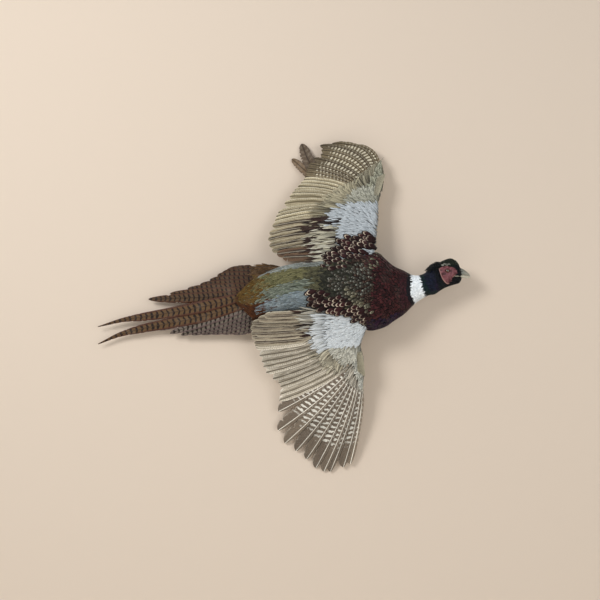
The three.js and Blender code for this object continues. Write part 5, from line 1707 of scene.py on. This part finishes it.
# Middle lines as x, how far off the wall and how far out from the belly's middle, in mm.
SHANK = [(-97, 15.2, 27), (-131, 14.1, 25.5), (-166, 13, 24)]
PALM = [(-164, 13, 24), (-176, 12.5, 24)]
HIND_TOE = [(-168, 12.5, 22), (-161, 8.5, 16)]
SPUR = [(-144, 13.6, 24), (-149, 12, 18), (-155, 10, 13)]
RADII = {"shank": [4.6, 3.7, 3.6, 3.8, 4.4], "palm": [4.3, 4.4, 3.2],
         "hind toe": [2.2, 1.8, 1.3], "toe": [2.9, 2.5, 2.7, 2.2, 2.3, 1.8, 1.5],
         "claw": [2.0, 1.7, 1.1, 0.15], "hind claw": [1.3, 0.9, 0.2], "spur": [3.0, 2.4, 0.3]}
TOES = [(-0.36, 36), (0.0, 48), (0.36, 34)]            # turn in radians, and length
TOE_ROOT = (-172, 12.5, 24)
TOE_DROPS = [(0, 0), (0.5, 3), (0.8, 5), (0.97, 7.2)]  # share of the length, and drop
# Scutes along the shank and along each stretch of a toe: count, first and last size.
SHANK_SCUTES, TOE_SCUTES = (19, 1.0, 1.0), [(8, 1.0, 0.92), (5, 0.9, 0.78), (3, 0.76, 0.6)]
LIMB_SPOKES = 20


def leg_line(side, points):
    return [np.array([x, -height, LEG_MIDDLE + side * outwards])
            for x, height, outwards in points]


def limb_rings(points, radii, steps):
    """Round rings along a smooth line, in metres."""
    t = np.linspace(0, 1, steps)
    line = smooth_line(points)
    middle, ahead = line(t), unit(line(t + 0.01) - line(t - 0.01))
    first = unit(np.cross(np.array([0, 1, 0]), ahead))
    second = np.cross(ahead, first)
    radius = np.interp(t, np.linspace(0, 1, len(radii)), radii)[:, None, None]
    turn = all_round(LIMB_SPOKES)[None, :, None]
    return MM * (middle[:, None] + radius * (
        first[:, None] * np.cos(turn) + second[:, None] * np.sin(turn)))


def toe_line(side, turned, length):
    x, height, outwards = TOE_ROOT
    return leg_line(side, [
        (x - length * share * math.cos(turned), height - drop,
         outwards + length * share * math.sin(turned)) for share, drop in TOE_DROPS])


scute_tree, given, result = new_group("scutes_along_a_toe", {
    "Geometry": "Geometry", "Start": "Vector", "End": "Vector", "Count": "Int",
    "Facing": "Vector", "First": "Float", "Last": "Float", "Material": "Material"},
    {"Geometry": "Geometry"}, "GeometryNodeTree")
row = flow(scute_tree, "GeometryNodeMeshLine", {
    "Count": given["Count"], "Start Location": given["Start"], "Offset": given["End"]},
    mode="END_POINTS")
along = flow(scute_tree, "VectorMath", {
    0: given["End"], 1: given["Start"]}, operation="SUBTRACT")
facing = flow(scute_tree, "FunctionNodeAxesToRotation", {
    "Primary Axis": along, "Secondary Axis": given["Facing"]},
    primary_axis="X", secondary_axis="Z")
shrink = flow(scute_tree, "MapRange", {
    0: flow(scute_tree, "GeometryNodeInputIndex"), 1: 0.0, 2: given["Count"],
    3: given["First"], 4: given["Last"]})
placed = flow(scute_tree, "GeometryNodeInstanceOnPoints", {
    "Points": row, "Instance": given["Geometry"], "Rotation": facing, "Scale": shrink})
real_mesh = flow(scute_tree, "GeometryNodeRealizeInstances", {0: placed})
send(flow(scute_tree, "GeometryNodeSetMaterial", {
    "Geometry": real_mesh, "Material": given["Material"]}), result["Geometry"])

leg_material, tree, finish = new_material("leg_scale_skin", Roughness=0.55)
scales = cells(place_in(tree), 620.0)
hide = tint(fade(noise(place_in(tree), 150.0, 4.0), 0.35, 0.7), "#6f685a", "#a39a86")
hide = tint(fade(scales, 0.35, 0.7), hide, "#4c463c")
send(age(hide, 0.4), finish.inputs["Base Color"])
raise_by(scales, finish, 0.5, 0.0003)

claw_material, tree, finish = new_material("claw_horn", Roughness=0.35)
send(tint(noise(place_in(tree), 500.0, 3.0), "#2a221c", "#5c5044"), finish.inputs["Base Color"])


def scute_mesh(name, radius, length):
    """One scute: a thin plate bowed over its limb, raised at its rear edge."""
    arc = np.linspace(-1.15, 1.15, 9)[None]
    along = np.linspace(-0.5, 0.62, 4)[:, None]
    raised = radius + 0.12 + 0.34 * ease(along, -0.5, 0.5)
    rounded = along * length * (1 - 0.18 * arc**2)
    top = np.stack([rounded, raised * np.sin(arc), raised * np.cos(arc)], -1)
    low = np.stack([rounded, (radius - 0.4) * np.sin(arc) + 0 * along,
                    (radius - 0.4) * np.cos(arc) + 0 * along], -1)
    rings = np.concatenate([top, low[:, ::-1]], 1)
    return new_mesh(name, *loft_parts([MM * rings]), smooth=False)


def join_meshes(name, meshes):
    """Several meshes with one material as one."""
    joined = bmesh.new()
    for mesh in meshes:
        joined.from_mesh(mesh)
    whole = bpy.data.meshes.new(name)
    joined.to_mesh(whole)
    joined.free()
    return whole


for name, side in (("left", 1), ("right", -1)):
    shank, palm, hind, spur = (
        leg_line(side, points) for points in (SHANK, PALM, HIND_TOE, SPUR))
    toes = [toe_line(side, *toe) for toe in TOES]
    parts = {
        "tarsus": ([limb_rings(shank, RADII["shank"], 30)],
                   [(shank[0], shank[2], *SHANK_SCUTES, 3.9)]),
        "foot": ([limb_rings(palm, RADII["palm"], 10), limb_rings(hind, RADII["hind toe"], 12)]
                 + [limb_rings(toe, RADII["toe"], 30) for toe in toes],
                 [(toe[k], toe[k + 1], *scutes, 2.6) for toe in toes
                  for k, scutes in enumerate(TOE_SCUTES)])}
    for part, (limbs, rows_of_scutes) in parts.items():
        core = new_mesh(f"{part}_core", *loft_parts(limbs))
        core.materials.append(leg_material)
        pieces = [core]
        for start, end, count, first, last, radius in rows_of_scutes:
            gap = np.linalg.norm(end - start) / count
            pieces.append(grow_by_nodes(
                f"{part}_scutes", scute_mesh("scute", radius, gap), scute_tree, {
                    "Start": tuple(MM * start), "End": tuple(MM * end), "Count": count,
                    "Facing": (0, 1, 0), "First": first, "Last": last,
                    "Material": leg_material}))
        limb = join_meshes(f"scaled_{part}_{name}", pieces)
        fit(new_object(limb.name, limb, leg_material), "leg_scale_skin", f"{part}_{name}")
    claws = []
    for toe in toes:
        end, way = toe[-1], unit(toe[-1] - toe[-2])
        claws.append(limb_rings([end - way * 3, end + way * 3 + (0, 0.5, 0),
                                 end + way * 7.5 + (0, 3.2, 0)], RADII["claw"], 14))
    claws += [limb_rings([hind[1], hind[1] + (2, 1.2, -side * 2.4)], RADII["hind claw"], 8),
              limb_rings(spur, RADII["spur"], 14)]
    claws = new_mesh(f"claws_and_spur_{name}", *loft_parts(claws))
    fit(new_object(claws.name, claws, claw_material), "bill_horn")

# ---- hanger ---------------------------------
# A zinc-plated steel plate that hangs on one screw by its keyhole, and the rod that joins it
# to the body inside the mount. Both keep the solids' own shapes.
steel, tree, finish = new_material("hanger_steel", Metallic=1.0)
brushed = noise(stretched(place_in(tree), (40, 2000, 2000)), 1.0, 3.0)
spangle = cells(place_in(tree), 160.0, "Color")
send(tint(spangle * 0.3, "#a8acae", "#d2d5d6"), finish.inputs["Base Color"])
send(brushed * 0.25 + 0.22, finish.inputs["Roughness"])
for name in ("hanger_plate", "hanger_rod"):
    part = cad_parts[name]
    part.data.materials.clear()
    part.data.materials.append(steel)

# ---- colour of the skin ---------------------
# The skin takes the colour of the feathers that grow on it, darkened as painted shade between
# the feathers, so that nothing shows between them. It stands for all the flesh that it covers.
PAINTED_SHADE_UNDER_FEATHERS = 0.55
root_points = np.concatenate([points for points, _ in coat_roots])
root_colours = np.concatenate([colours for _, colours in coat_roots])
nearest = KDTree(len(root_points))
for index, point in enumerate(root_points):
    nearest.insert(point, index)
nearest.balance()
found = [nearest.find(vertex.co)[1] for vertex in skin_mesh.vertices]
# Painted shade: the feathers' colour, darkened, where the skin shows between them.
down = np.concatenate([root_colours[found] * PAINTED_SHADE_UNDER_FEATHERS, np.ones((len(found), 1))], 1)
store(skin_mesh, "ground", "FLOAT_COLOR", "color", down)
fit(skin, "back_plumage", "rump", "back", "breast", "neck_base", "neck_collar", "neck_upper",
    "head", "wing_left_arm", "wing_left_hand", "wing_right_arm", "wing_right_hand",
    "thigh_left", "thigh_right")

({"solids": [list(corner) for corner in solid_corners],
           "finished": [list(corner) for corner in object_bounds()]})
